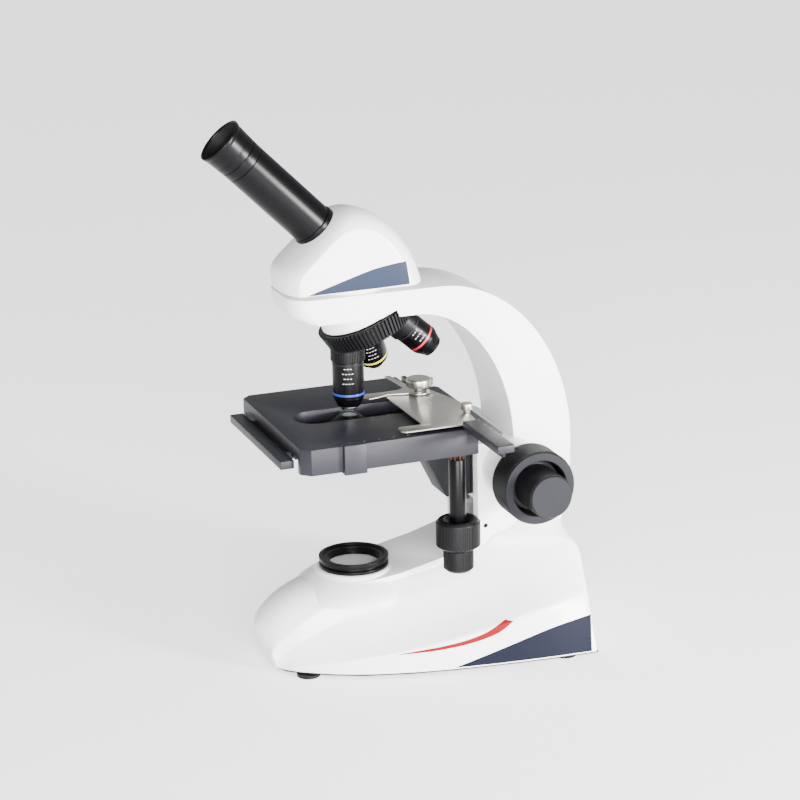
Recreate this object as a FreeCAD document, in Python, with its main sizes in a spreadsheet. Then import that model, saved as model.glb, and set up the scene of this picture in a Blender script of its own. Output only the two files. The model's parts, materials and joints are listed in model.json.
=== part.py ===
import FreeCAD, Part
import math
import os
import re
import Sketcher

# A compound student microscope with one inclined eyepiece tube, a four-place nosepiece,
# a mechanical stage with a coaxial drive and a lamp in the foot.
# Origin: on the table, on the optical axis. +Z up, +Y towards the arm, +X the side of the stage drive.

VALUES = {
    # levels along Z; the stage carries everything above it
    "foot_high": 2.0, "plate_gauge": 1.5, "stage_top": 169.8, "skirt_drop": 17.4, "plate_thick": 8.3,
    "parfocal": 45.0, "slide_gap": 1.0, "seat_reach": 46.9, "apex_drop": 22.0, "arm_deep": 17.3,
    "housing_drop": 7.4, "focus_drop": 19.0,
    # casting: foot
    "base_half": 82.0, "base_back": 148.0, "base_front": 73.0, "wall": 4.0, "spine_half": 29.0,
    "deck_front": 55.0, "deck_back": 67.0, "toe": 14.0, "screw_top": 14.0,
    # casting: arm, two quarter ellipses
    "outer_centre": 56.0, "outer_reach": 94.0, "outer_rise": 118.0,
    "inner_centre": 40.0, "inner_reach": 68.0, "inner_rise": 100.5,
    "nose_front": 46.0, "nose_round": 14.0, "column_back": 149.0,
    # focus housing and drive
    "housing_front": 81.0, "focus_y": 105.0, "focus_pitch": 6.0, "tooth_module": 1.0, "backlash": 0.16,
    "slide_half": 19.8, "slide_web": 15.8, "slide_gap_side": 0.2, "slide_front": 82.0, "slide_back": 95.5,
    "slide_flange": 2.6, "slide_high": 46.0, "rack_long": 44.0, "travel_down": 12.6,
    "boss_r": 21.0, "boss_reach": 54.5, "bush_r": 9.0, "bush_start": 25.0, "run_gap": 0.05,
    "coarse_r": 5.0, "fine_r": 2.5, "coarse_knob_r": 25.5, "coarse_knob_wide": 23.5, "knob_gap": 2.0,
    "coarse_cup_r": 19.0, "coarse_hub": 6.0, "fine_knob_r": 15.1, "fine_knob_wide": 34.0,
    "fine_ring_r": 17.4, "fine_ring_wide": 6.0, "fine_gap": 3.0,
    "shaft_cap_r": 8.0, "shaft_cap_high": 3.0, "cap_gap": 1.0,
    # lamp in the foot
    "lamp_bore": 17.8, "lamp_rim_r": 20.0, "lamp_flange_r": 24.0, "lamp_high": 7.3, "lamp_flange": 2.6,
    "lamp_seat": 61.4, "lamp_ledge_r": 14.0, "lamp_ledge": 1.6, "lamp_boss_r": 26.0, "lamp_root_r": 33.0,
    "lamp_well_r": 15.0, "lamp_sleeve": 3.5, "lamp_sleeve_deep": 20.0, "lens_thick": 5.0, "led_thick": 6.0,
    # stage
    "stage_half": 68.4, "stage_front": 55.75, "stage_back": 66.0, "stage_corner": 6.0, "skirt_wide": 10.4,
    "slot_half": 14.7, "slot_front": 39.0, "slot_back": 50.0, "rail_in": 38.3, "rail_wide": 6.0,
    "rail_drop": 7.6, "tongue": 2.2, "rocker_y": 145.0, "tongue_high": 2.6, "guide_thick": 5.5, "guide_gap": 0.5,
    "guide_back": 48.0, "guide_nose": 67.3, "nose_half": 57.0, "nose_gap": 2.2,
    "block_y": 20.7, "block_long": 15.5, "block_gap": 0.4, "block_thick": 3.2,
    "bracket_half": 14.0, "bracket_reach": 44.0, "bracket_toe": 64.0, "bracket_drop": 47.5,
    "cond_r": 16.0, "cond_neck_r": 14.0, "cond_top_r": 6.8, "cond_bore": 4.6, "cond_drop": 16.0,
    "iris_r": 18.5, "iris_high": 5.0, "iris_reach": 40.0,
    # coaxial stage drive
    "drive_x": 52.0, "drive_y": 57.0, "drive_clear": 1.4, "shoulder_mid": 52.5,
    "y_pitch": 5.0, "x_pitch": 3.0, "x_module": 0.5, "sleeve_r": 5.7, "journal_r": 3.2, "x_shaft_r": 2.0,
    "y_knob_r": 15.0, "y_knob_high": 20.9, "x_knob_r": 10.3, "x_knob_high": 15.0, "y_pinion_high": 5.6, "rack_drop": 4.6,
    # specimen carrier
    "bar_front": 56.0, "bar_back": 67.5, "bar_left": 30.0, "bar_step": 66.0, "bar_right": 126.0,
    "bar_low": 0.4, "bar_high": 5.2, "shelf_high": 1.5, "rack_back": 62.4, "rack_deep": 3.0,
    "guide_rear": 78.0, "guide_left": 35.0, "guide_right": 81.0, "guide_drop": 8.4, "y_travel": 28.0,
    "leaf_front": 32.2, "leaf_left": 29.0, "leaf_right": 64.7, "leaf_gauge": 1.0, "jaw_in": 52.8,
    "jaw_front": 14.4, "pivot_x": 15.5, "pivot_y": 56.0, "pivot_r": 3.0, "pivot_cap_r": 8.5,
    "clip_lift": 0.3, "clip_gauge": 1.0, "clip_hub_r": 8.0, "cap_lift": 5.0, "cap_high": 6.0,
    "thumb_r": 3.9, "thumb_neck": 2.4, "thumb_high": 7.0,
    # nosepiece, tilted about the apex where all objective axes cross
    "tilt": 24.3, "ring_top_r": 31.9, "ring_low_r": 29.2, "ring_start": 26.6, "ring_end": 40.0,
    "disc_r": 28.0, "disc_start": 27.4, "mount_r": 29.6, "mount_start": 14.0, "mount_gap": 0.5,
    "pivot_pin_r": 4.0, "pivot_head_r": 6.0, "thread_r": 10.16, "thread_gap": 0.1, "thread_deep": 5.0, "port_light_r": 5.5, "recess_gap": 1.2,
    "collar_r": 11.7, "barrel_r": 10.7, "tip_r": 5.6,
    # head and eyepiece, on an axis inclined to the vertical
    "head_lift": 2.6, "head_half": 28.6, "head_wall": 3.0, "ring_fit_r": 22.0, "ring_fit_deep": 4.0,
    "ring_lip_r": 26.0, "light_r": 9.0, "incline": 45.0, "tube_y": 17.9, "tube_rise": 40.4,
    "tube_r": 14.7, "tube_bore": 11.6, "tube_in": 16.0, "tube_long": 68.0,
    "eye_barrel_long": 36.0, "eye_head_long": 12.0, "eye_cup_long": 11.7, "eye_head_r": 15.2,
    "eye_cup_r": 16.4, "eye_hollow_r": 12.6,
}

DOC = FreeCAD.newDocument("microscope")
SHEET = DOC.addObject("Spreadsheet::Sheet", "Dims")
for row, (alias, value) in enumerate(VALUES.items(), start=1):
    SHEET.set("A%d" % row, alias)
    SHEET.set("B%d" % row, str(value))
    SHEET.setAlias("B%d" % row, alias)
DOC.recompute()

# Levels worked out from the driving sizes, as text for expressions
BOTTOM = "(foot_high + plate_gauge)"
STAGE_UNDER = "(stage_top - skirt_drop)"
PLATE_UNDER = "(stage_top - plate_thick)"
GUIDE_TOP = "(stage_top - plate_thick - guide_gap)"
GUIDE_UNDER = "(stage_top - plate_thick - guide_gap - guide_thick)"
APEX = "(stage_top + slide_gap + parfocal + seat_reach)"
ARM_UNDER = "(stage_top + slide_gap + parfocal + seat_reach - apex_drop)"
ARM_TOP = "(stage_top + slide_gap + parfocal + seat_reach - apex_drop + arm_deep)"
HOUSING_TOP = "(stage_top - skirt_drop - housing_drop)"
FOCUS_Z = "(stage_top - skirt_drop - housing_drop - focus_drop)"
HEAD_LOW = "(stage_top + slide_gap + parfocal + seat_reach - apex_drop + arm_deep + head_lift)"
X_KNOB_LOW = "(shoulder_mid + travel_down + drive_clear)"
BAR_LOW = "(stage_top + bar_low)"
LEAF_LOW = "(stage_top + bar_low + shelf_high)"
LEAF_TOP = "(stage_top + bar_low + shelf_high + leaf_gauge)"

NODES = []
WORD = re.compile(r"[a-z][a-z_0-9]*")
FUNCTIONS = ("sin", "cos", "tan", "sqrt")


def formula(text):
    """Turn plain size names into references to the sheet."""
    return WORD.sub(lambda m: m.group() if m.group() in FUNCTIONS else "Dims." + m.group(), str(text))


def size(alias):
    return float(SHEET.get(alias))


def level(text):
    """The value of a sum of size names, for the pieces whose shape is made in code."""
    total = 0.0
    for sign, alias in re.findall(r"([+-]?)\s*([a-z][a-z_0-9]*)", text):
        total += -size(alias) if sign == "-" else size(alias)
    return total


def node(item, label):
    item.Label = label
    NODES.append(item)
    return item


def bind(item, **sizes):
    for name, text in sizes.items():
        item.setExpression(name, formula(text))
    return item


def at(item, x=0, y=0, z=0):
    item.setExpression("Placement.Base.x", formula(x))
    item.setExpression("Placement.Base.y", formula(y))
    item.setExpression("Placement.Base.z", formula(z))
    return item


def box(name, x, y, z):
    """A block between the low and high value of each axis."""
    item = DOC.addObject("Part::Box", name)
    bind(item, Length="%s - (%s)" % (x[1], x[0]), Width="%s - (%s)" % (y[1], y[0]),
         Height="%s - (%s)" % (z[1], z[0]))
    return at(item, x[0], y[0], z[0])


TURNS = {"x": FreeCAD.Rotation(FreeCAD.Vector(0, 1, 0), 90),
         "y": FreeCAD.Rotation(FreeCAD.Vector(1, 0, 0), -90),
         "z": FreeCAD.Rotation()}


def rod(name, radius, axis, low, high, x=0, y=0, z=0):
    """A cylinder along one axis from low to high; the other two places are given."""
    item = DOC.addObject("Part::Cylinder", name)
    bind(item, Radius=radius, Height="%s - (%s)" % (high, low))
    item.Placement = FreeCAD.Placement(FreeCAD.Vector(), TURNS[axis])
    start = {"x": (low, y, z), "y": (x, low, z), "z": (x, y, low)}[axis]
    return at(item, *start)


def fuse(name, *pieces):
    item = DOC.addObject("Part::MultiFuse", name)
    item.Shapes = list(pieces)
    return item


def cut(name, base, *tools):
    item = DOC.addObject("Part::Cut", name)
    item.Base = base
    item.Tool = tools[0] if len(tools) == 1 else fuse(name + "_tools", *tools)
    return item


def common(name, first, second):
    item = DOC.addObject("Part::MultiCommon", name)
    item.Shapes = [first, second]
    return item


def mirror(name, source):
    """A copy mirrored in the plane x = 0."""
    item = DOC.addObject("Part::Mirroring", name)
    item.Source = source
    item.Normal = FreeCAD.Vector(1, 0, 0)
    return item


def outline(body, plane, points, name, offset="0"):
    """A closed outline whose corners are bound to the sheet."""
    sketch = body.newObject("Sketcher::SketchObject", name)
    origin = next(f for f in body.Origin.OriginFeatures if f.Role == plane)
    sketch.AttachmentSupport = [(origin, "")]
    sketch.MapMode = "FlatFace"
    sketch.setExpression("AttachmentOffset.Base.z", formula(offset))
    count = len(points)
    ring = [FreeCAD.Vector(math.cos(2 * math.pi * i / count), math.sin(2 * math.pi * i / count), 0)
            for i in range(count)]
    for i in range(count):
        sketch.addGeometry(Part.LineSegment(ring[i], ring[(i + 1) % count]), False)
    for i in range(count):
        sketch.addConstraint(Sketcher.Constraint("Coincident", i, 2, (i + 1) % count, 1))
    for i, (across, up) in enumerate(points):
        for kind, text in (("DistanceX", across), ("DistanceY", up)):
            index = sketch.addConstraint(Sketcher.Constraint(kind, -1, 1, i, 1, 1.0 + i))
            sketch.setExpression("Constraints[%d]" % index, formula(text))
    return sketch


def turned(name, points):
    """A piece turned about its own Z axis, from (radius, height) corners."""
    body = DOC.addObject("PartDesign::Body", name)
    sketch = outline(body, "XZ_Plane", points, name + "_profile")
    turn = body.newObject("PartDesign::Revolution", name + "_turn")
    turn.Profile = sketch
    turn.ReferenceAxis = (sketch, ["V_Axis"])
    turn.Angle = 360
    body.Tip = turn
    return body


def slab(name, plane, points, low, high):
    """An outline padded from low to high along the plane's normal (+Z for XY, +X for YZ)."""
    body = DOC.addObject("PartDesign::Body", name)
    sketch = outline(body, plane, points, name + "_outline", low)
    pad = body.newObject("PartDesign::Pad", name + "_pad")
    pad.Profile = sketch
    pad.setExpression("Length", formula("%s - (%s)" % (high, low)))
    body.Tip = pad
    return body


def lofted(name, plane, sections):
    """A ruled loft through outlines; each section is (offset along the normal, corners)."""
    body = DOC.addObject("PartDesign::Body", name)
    sketches = [outline(body, plane, corners, "%s_section%d" % (name, i), offset)
                for i, (offset, corners) in enumerate(sections)]
    loft = body.newObject("PartDesign::AdditiveLoft", name + "_loft")
    loft.Profile = sketches[0]
    loft.Sections = sketches[1:]
    loft.Ruled = True
    body.Tip = loft
    return body


def made(name, shape, placement=None):
    """A piece whose shape is made with Part's own functions."""
    item = DOC.addObject("Part::Feature", name)
    item.Shape = shape
    if placement is not None:
        item.Placement = placement
    return item


def both_sides(corners):
    """Corners on the +X side, bottom to top, closed by their mirror image."""
    return corners + [("-(%s)" % x, z) for x, z in reversed(corners)]


# ---------------------------------------------------------------- the casting: foot, column and arm

# Each rib: place along Y, inset of the foot's edge, height of its side band, shoulder (x, z),
# valley (x, z) and crown (x, z)
RIBS = (
    ("-base_front", 63.0, 8.0, 18.0, 16.0, 16.0, 25.0, 10.0, 31.0),
    ("-base_front + 9", 54.0, 8.0, 24.0, 14.0, 22.0, 27.0, 13.0, 40.0),
    ("-base_front + 23", 45.0, 10.0, 30.0, 22.5, 27.0, 34.0, 17.0, 48.5),
    ("-base_front + 51", 29.0, 14.0, 35.0, 34.0, 28.0, 49.0, 22.0, 55.0),
    ("15", 16.0, 18.0, 39.0, 46.0, 28.0, 55.0, 26.0, 58.0),
    ("44", 10.8, 22.5, 40.0, 51.0, 28.0, 60.0, 27.0, 64.0),
    ("88", 5.0, 34.0, 41.0, 57.5, 28.0, 74.0, 27.0, 77.0),
    ("base_back - 28", 1.5, 42.0, 43.0, 67.5, 36.0, 90.0, 30.0, 100.0),
    ("base_back", 0.0, 47.0, 46.0, 78.0, 43.0, 95.0, 36.0, 108.0),
)


def foot_section(rib, inset):
    place, edge, band, shoulder_x, shoulder_z, valley_x, valley_z, crown_x, crown_z = rib
    bottom = BOTTOM if inset == "0" else "0"
    corners = [("base_half - %s - %s" % (edge, inset), bottom),
               ("base_half - %s - %s" % (edge, inset), "%s - %s" % (band, inset)),
               ("%s - %s" % (shoulder_x, inset), "%s - %s" % (shoulder_z, inset)),
               ("%s - %s" % (valley_x, inset), "%s - %s" % (valley_z, inset)),
               ("%s - %s" % (crown_x, inset), "%s - %s" % (crown_z, inset))]
    return both_sides(corners)


def foot():
    outside = [("-(%s)" % rib[0], foot_section(rib, "0")) for rib in RIBS]
    return lofted("foot_blank", "XZ_Plane", outside)


def foot_hollow():
    ribs = RIBS[1:]
    last = len(ribs) - 1
    inside = []
    for i, rib in enumerate(ribs):
        place = rib[0] + (" - wall" if i == last else "")
        inside.append(("-(%s)" % place, foot_section(rib, "wall")))
    return lofted("foot_hollow", "XZ_Plane", inside)


def quarter_prism(name, centre_y, centre_z, reach, rise, half):
    """An upright elliptical prism along X, kept above and behind its centre."""
    edge = DOC.addObject("Part::Ellipse", name + "_edge")
    bind(edge, MajorRadius=rise, MinorRadius=reach)
    edge.Placement = FreeCAD.Placement(FreeCAD.Vector(), FreeCAD.Rotation(FreeCAD.Vector(0, 1, 0), -90))
    at(edge, 0, centre_y, centre_z)
    prism = DOC.addObject("Part::Extrusion", name + "_prism")
    prism.Base = edge
    prism.DirMode = "Custom"
    prism.Dir = FreeCAD.Vector(1, 0, 0)
    prism.Solid = True
    bind(prism, LengthFwd=half, LengthRev=half)
    keep = box(name + "_keep", ("-(%s)" % half, half), (centre_y, "%s + %s" % (centre_y, reach)),
               (centre_z, "%s + %s" % (centre_z, rise)))
    return common(name, prism, keep)


def arm():
    outer_z = "(%s - outer_rise)" % ARM_TOP
    inner_z = "(%s - inner_rise)" % ARM_UNDER
    crown = quarter_prism("arm_crown", "outer_centre", outer_z, "outer_reach", "outer_rise", "spine_half")
    beam = box("arm_beam", ("-spine_half", "spine_half"), ("-nose_front + nose_round", "outer_centre"),
               (outer_z, ARM_TOP))
    nose = box("arm_nose", ("-spine_half + nose_round", "spine_half - nose_round"),
               ("-nose_front", "0"), (ARM_UNDER, ARM_TOP))
    cheeks = [rod("arm_cheek%d" % i, "nose_round", "z", ARM_UNDER, ARM_TOP,
                  x="%s(spine_half - nose_round)" % sign, y="-nose_front + nose_round")
              for i, sign in enumerate(("-", "+"))]
    throat = quarter_prism("arm_throat", "inner_centre", inner_z, "inner_reach", "inner_rise", "2 * spine_half")
    gap = box("arm_gap", ("-2 * spine_half", "2 * spine_half"), ("-2 * nose_front", "inner_centre"),
              (inner_z + " - 1", ARM_UNDER))
    foot_gap = box("arm_gap_low", ("-2 * spine_half", "2 * spine_half"),
                   ("-2 * nose_front", "inner_centre + inner_reach"), (outer_z + " - 1", inner_z))
    return cut("arm_blank", fuse("arm_solid", crown, beam, nose, *cheeks), throat, gap, foot_gap)


def column():
    """The column flares from the arm's width at the top to the foot at the back."""
    outer_z = "(%s - outer_rise)" % ARM_TOP
    levels = (("0.30", "50"), ("0.45", "48"), ("0.68", "43"), ("0.90", "36"), ("1.14", "spine_half"))
    sections = []
    for share, half in levels:
        height = "%s * %s" % (outer_z, share)
        back = "column_back" if half != "spine_half" else "column_back - 3"
        sections.append((height, [("-spine_half", "housing_front + 24"), ("spine_half", "housing_front + 24"),
                                  (half, back), ("-(%s)" % half, back)]))
    flare = lofted("column_flare", "XY_Plane", sections)
    housing = box("focus_housing", ("-spine_half", "spine_half"), ("housing_front", "housing_front + 30"),
                  ("50", HOUSING_TOP))
    deck = slab("lamp_deck", "YZ_Plane",
                [("-toe", "40"), ("-toe", "deck_front"), ("20", "deck_front + 4"), ("60", "deck_back"),
                 ("housing_front", "deck_back + 9"), ("housing_front + 20", "deck_back + 9"),
                 ("housing_front + 20", "40")], "-spine_half", "spine_half")
    boss = rod("knob_boss", "boss_r", "x", "-boss_reach", "boss_reach", y="focus_y", z=FOCUS_Z)
    lamp = turned("lamp_boss", [("0", "lamp_seat - 16"), ("lamp_root_r", "lamp_seat - 16"),
                                ("lamp_root_r - 4", "lamp_seat - 7"), ("lamp_boss_r", "lamp_seat"),
                                ("0", "lamp_seat")])
    return [flare, housing, deck, boss, lamp]


POSTS = (("24", "-25", "42"), ("48", "108", "55.5"))


def tilted(distance_low, distance_high, radius, name):
    """A cylinder about the nosepiece axis, between two distances below the apex."""
    item = DOC.addObject("Part::Cylinder", name)
    bind(item, Radius=radius, Height="%s - (%s)" % (distance_high, distance_low))
    item.Placement = FreeCAD.Placement(FreeCAD.Vector(), FreeCAD.Rotation(FreeCAD.Vector(1, 0, 0), 180 + size("tilt")))
    return at(item, 0, "(%s) * sin(tilt)" % distance_low, "%s - (%s) * cos(tilt)" % (APEX, distance_low))


def trim_blank(name, inside, outside):
    """A strip along the foot's side band, between two distances from its face."""
    ribs = RIBS[5:]
    ends = [("base_half - %s" % rib[1], rib[0]) for rib in ribs[:-1]] + [("base_half", "base_back - 6")]
    inner = [("%s - %s" % (x, inside), y) for x, y in ends]
    outer = [("%s + %s" % (x, outside), y) for x, y in reversed(ends)]
    strip = slab(name + "_strip", "XY_Plane", inner + outer, BOTTOM, "60")
    wedge = slab(name + "_wedge", "YZ_Plane", [("44", BOTTOM), ("base_back - 6", "30"), ("base_back - 6", BOTTOM)],
                 "0", "2 * base_half")
    return common(name, strip, wedge)


def casting():
    solid = fuse("casting_solid", foot(), arm(), *column())
    hollow = foot_hollow()
    plain = cut("casting_shell", solid, hollow)
    sleeve = rod("lamp_sleeve_rod", "lamp_well_r + lamp_sleeve", "z", "lamp_seat - lamp_sleeve_deep",
                 "lamp_seat - 4")
    posts = []
    for i, (x, y, top) in enumerate(POSTS):
        for j, sign in enumerate(("-", "+")):
            posts.append(rod("post%d%d" % (i, j), "4", "z", BOTTOM, top, x=sign + x, y=y))
    bodied = fuse("casting_bodied", plain, sleeve, *posts)
    slide_way = box("slide_way", ("-slide_half - slide_gap_side - 0.5", "slide_half + slide_gap_side + 0.5"),
                    ("housing_front - 5", "slide_back + 5.5"),
                    (FOCUS_Z + " - slide_high / 2 - travel_down - 2", HOUSING_TOP + " + 10"))
    pinion_way = rod("pinion_way", "focus_pitch + 2.2", "x", "-slide_half - 0.7", "slide_half + 0.7",
                     y="focus_y", z=FOCUS_Z)
    bush_way = rod("bush_way", "bush_r", "x", "-boss_reach - 1", "boss_reach + 1", y="focus_y", z=FOCUS_Z)
    well = rod("lamp_well", "lamp_well_r", "z", "lamp_seat - lamp_sleeve_deep - 1", "lamp_seat + 1")
    recess = tilted("ring_start - mount_gap", "ring_end + 20", "ring_top_r + recess_gap", "ring_recess")
    seat = tilted("mount_start - 2", "ring_start + 1", "pivot_pin_r", "casting_pin_seat")
    light = rod("light_way", "light_r", "z", ARM_UNDER + " - 1", ARM_TOP + " + 1")
    head_seat = rod("head_seat", "ring_fit_r + run_gap", "z", ARM_TOP + " - ring_fit_deep", ARM_TOP + " + 1")
    inlet = rod("inlet_way", "5", "y", "base_back - 12", "base_back + 1", x="-26", z="22")
    rocker = box("rocker_way", ("17.6", "30.4"), ("base_back - 12", "base_back + 1"), ("15.6", "28.4"))
    dial = rod("dial_way", "3 + run_gap", "x", "-base_half", "-50", y="30", z="13")
    screws = [rod("screw_way%d" % i, "1.6", "x", "-spine_half - 1", "spine_half + 1", y="86.5",
                  z="%s %s" % (FOCUS_Z, drop)) for i, drop in enumerate(("+ 4", "- 40"))]
    screws += [rod("post_way%d%d" % (i, j), "1.6", "z", BOTTOM + " - 1", "screw_top", x=sign + x, y=y)
               for i, (x, y, top) in enumerate(POSTS) for j, sign in enumerate(("-", "+"))]
    top_hole = rod("top_hole", "1.6", "z", ARM_TOP + " - 9", ARM_TOP + " + 1", y="outer_centre + 8")
    trim = trim_blank("trim_pocket", "1.4", "2")
    tools = [slide_way, pinion_way, bush_way, well, recess, seat, light, head_seat, inlet, rocker, dial,
             top_hole, trim, mirror("trim_pocket_left", trim)] + screws
    return node(cut("stand_casting_cut", bodied, *tools), "stand_casting")


# ---------------------------------------------------------------- pieces fixed to the casting

def foot_outline(inset):
    side = [("base_half - %s - %s" % (rib[1], inset), rib[0]) for rib in RIBS]
    side[0] = (side[0][0], side[0][1] + " + %s" % inset)
    side[-1] = (side[-1][0], side[-1][1] + " - %s" % inset)
    return side + [("-(%s)" % x, y) for x, y in reversed(side)]


FEET = (("34", "-46"), ("70", "127"))


def underside():
    plate = slab("base_plate_blank", "XY_Plane", foot_outline("2"), "foot_high", BOTTOM)
    feet = []
    for i, (x, y) in enumerate(FEET):
        for j, sign in enumerate(("-", "+")):
            feet.append(rod("foot%d%d" % (i, j), "8", "z", "0", "foot_high", x=sign + x, y=y))
    node(fuse("rubber_feet_set", *feet), "rubber_feet")
    holes, screws = [], []
    for i, (x, y, top) in enumerate(POSTS):
        for j, sign in enumerate(("-", "+")):
            holes.append(rod("plate_hole%d%d" % (i, j), "1.6", "z", "0", BOTTOM + " + 1", x=sign + x, y=y))
            head = rod("screw_head%d%d" % (i, j), "3", "z", "foot_high - 1.4", "foot_high", x=sign + x, y=y)
            shank = rod("screw_shank%d%d" % (i, j), "1.6", "z", "foot_high", "screw_top", x=sign + x, y=y)
            screws.append(fuse("screw%d%d" % (i, j), head, shank))
    node(cut("base_plate_cut", plate, *holes), "base_plate")
    node(fuse("base_screws_set", *screws), "base_screws")
    board = box("board", ("-30", "30"), ("62", "112"), (BOTTOM + " + 4", BOTTOM + " + 5.6"))
    legs = [rod("board_leg%d" % i, "2.5", "z", BOTTOM, BOTTOM + " + 4", x=x, y=y)
            for i, (x, y) in enumerate((("-25", "67"), ("25", "67"), ("-25", "107"), ("25", "107")))]
    node(fuse("board_on_legs", board, *legs), "control_board")


def trims():
    right = trim_blank("trim_piece", "1.3", "0.3")
    node(fuse("base_trims_pair", right, mirror("trim_piece_left", right)), "base_trims")


def lamp():
    node(turned("lamp_collar_body", [
        ("lamp_ledge_r", "lamp_seat"), ("lamp_flange_r", "lamp_seat"),
        ("lamp_flange_r", "lamp_seat + lamp_flange"), ("lamp_rim_r", "lamp_seat + lamp_flange + 0.6"),
        ("lamp_rim_r", "lamp_seat + lamp_high"), ("lamp_bore", "lamp_seat + lamp_high"),
        ("lamp_bore", "lamp_seat + lamp_ledge"), ("lamp_ledge_r", "lamp_seat + lamp_ledge")]), "lamp_collar")
    node(turned("lamp_lens_body", [
        ("0", "lamp_seat - 1 - lens_thick"), ("lamp_well_r", "lamp_seat - 1 - lens_thick"),
        ("lamp_well_r", "lamp_seat - 3"), ("lamp_ledge_r - 3", "lamp_seat - 1"),
        ("0", "lamp_seat - 0.4")]), "lamp_lens")
    node(rod("led_module_rod", "lamp_well_r", "z", "lamp_seat - lamp_sleeve_deep",
             "lamp_seat - lamp_sleeve_deep + led_thick"), "led_module")


def electrics():
    barrel = rod("socket_barrel", "4.9", "y", "base_back - 14", "base_back", x="-26", z="22")
    face = rod("socket_face", "6.5", "y", "base_back", "base_back + 1.2", x="-26", z="22")
    hole = rod("socket_hole", "2.75", "y", "base_back - 9", "base_back + 2", x="-26", z="22")
    pin = rod("socket_pin", "1", "y", "base_back - 9.5", "base_back", x="-26", z="22")
    node(fuse("socket", cut("socket_shell", fuse("socket_solid", barrel, face), hole), pin), "power_socket")
    rocker = slab("rocker", "YZ_Plane", [("base_back - 7", "18"), ("base_back - 7", "26"),
                                         ("base_back + 0.2", "27.6"), ("base_back - 0.6", "22"),
                                         ("base_back + 1.6", "16.4")], "18.2", "29.8")
    pivot = rod("rocker_pivot", "1.2", "x", "17.8", "30.2", y="rocker_y", z="22")
    node(fuse("rocker_on_pivot", rocker, pivot), "power_switch")
    grip = rod("dial_grip", "8", "x", "-base_half + 3.2", "-base_half + 11.6", y="30", z="13")
    axle = rod("dial_axle", "3", "x", "-base_half + 11.6", "-58", y="30", z="13")
    node(fuse("dial", grip, axle), "brightness_dial")


def guide_rails():
    low = FOCUS_Z + " - slide_high / 2 - travel_down"
    rails = [box("rail%s" % tag, x, ("slide_front + slide_flange + slide_gap_side",
                                     "slide_back - slide_flange - slide_gap_side"), (low, HOUSING_TOP))
             for tag, x in (("_left", ("-slide_half - slide_gap_side - 0.5", "-slide_web - slide_gap_side")),
                            ("_right", ("slide_web + slide_gap_side", "slide_half + slide_gap_side + 0.5")))]
    node(fuse("rails", *rails), "guide_rails")


def set_screws():
    pieces = []
    for i, drop in enumerate(("+ 4", "- 40")):
        for sign, low, high in (("left", "-spine_half + 0.8", "-slide_half - slide_gap_side - 0.5"),
                                ("right", "slide_half + slide_gap_side + 0.5", "spine_half - 0.8")):
            pieces.append(rod("set_screw_%s%d" % (sign, i), "1.6", "x", low, high, y="86.5",
                              z="%s %s" % (FOCUS_Z, drop)))
    pieces.append(rod("top_screw", "1.6", "z", ARM_TOP + " - 9", ARM_TOP + " - 2", y="outer_centre + 8"))
    node(fuse("set_screws_all", *pieces), "set_screws")


def focus_bushings():
    rings = []
    for tag, low, high in (("left", "-boss_reach", "-bush_start"), ("right", "bush_start", "boss_reach")):
        outer = rod("bush_outer_" + tag, "bush_r", "x", low, high, y="focus_y", z=FOCUS_Z)
        inner = rod("bush_inner_" + tag, "coarse_r + run_gap", "x", low + " - 1", high + " + 1",
                    y="focus_y", z=FOCUS_Z)
        rings.append(cut("bush_" + tag, outer, inner))
    node(fuse("bushes", *rings), "focus_bushings")


# ---------------------------------------------------------------- racks and pinions

PRESSURE = math.tan(math.radians(20))


def tooth_half(module, height):
    """Half the width of a tooth at a height above the pitch line."""
    return math.pi * module / 4 - height * PRESSURE - size("backlash") / 2


def pinion_face(module, teeth, bore):
    """Straight-flanked teeth round a disc, with a bore."""
    pitch = module * teeth / 2
    corners = []
    for i in range(teeth):
        middle = 2 * math.pi * i / teeth
        for side, height in ((-1, -1.1), (-1, 0.85), (1, 0.85), (1, -1.1)):
            radius = pitch + height * module
            turn = middle + side * tooth_half(module, height * module) / pitch
            corners.append(FreeCAD.Vector(radius * math.cos(turn), radius * math.sin(turn), 0))
    outside = Part.Face(Part.makePolygon(corners + corners[:1]))
    if bore == 0:
        return outside
    return outside.cut(Part.Face(Part.Wire(Part.makeCircle(bore))))


def rack_solid(module, teeth, back, wide):
    """A rack along X whose pitch line is y = 0, teeth towards -Y, a gap centred on x = 0."""
    corners = [FreeCAD.Vector(-math.pi * module * (teeth / 2), 1.1 * module, 0)]
    for i in range(teeth):
        middle = math.pi * module * (i - teeth / 2 + 0.5)
        for side, height in ((-1, -1.1), (-1, 0.85), (1, 0.85), (1, -1.1)):
            corners.append(FreeCAD.Vector(middle + side * tooth_half(module, height * module), -height * module, 0))
    corners.append(FreeCAD.Vector(math.pi * module * (teeth / 2), 1.1 * module, 0))
    corners.append(FreeCAD.Vector(math.pi * module * (teeth / 2), back, 0))
    corners.append(FreeCAD.Vector(-math.pi * module * (teeth / 2), back, 0))
    return Part.Face(Part.makePolygon(corners + corners[:1])).extrude(FreeCAD.Vector(0, 0, wide))


def teeth_for(length, module):
    """An even number of teeth, so that a gap lies at the middle."""
    return 2 * int(length / (2 * math.pi * module))


def frame_of(x_to, y_to, base):
    """A placement that turns local X and Y to the given directions."""
    return FreeCAD.Placement(FreeCAD.Vector(*base), FreeCAD.Rotation(FreeCAD.Vector(*x_to),
                             FreeCAD.Vector(*y_to), FreeCAD.Vector(), "XYZ"))


# ---------------------------------------------------------------- focus drive

def focus_height():
    return level("stage_top - skirt_drop - housing_drop - focus_drop")


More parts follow.
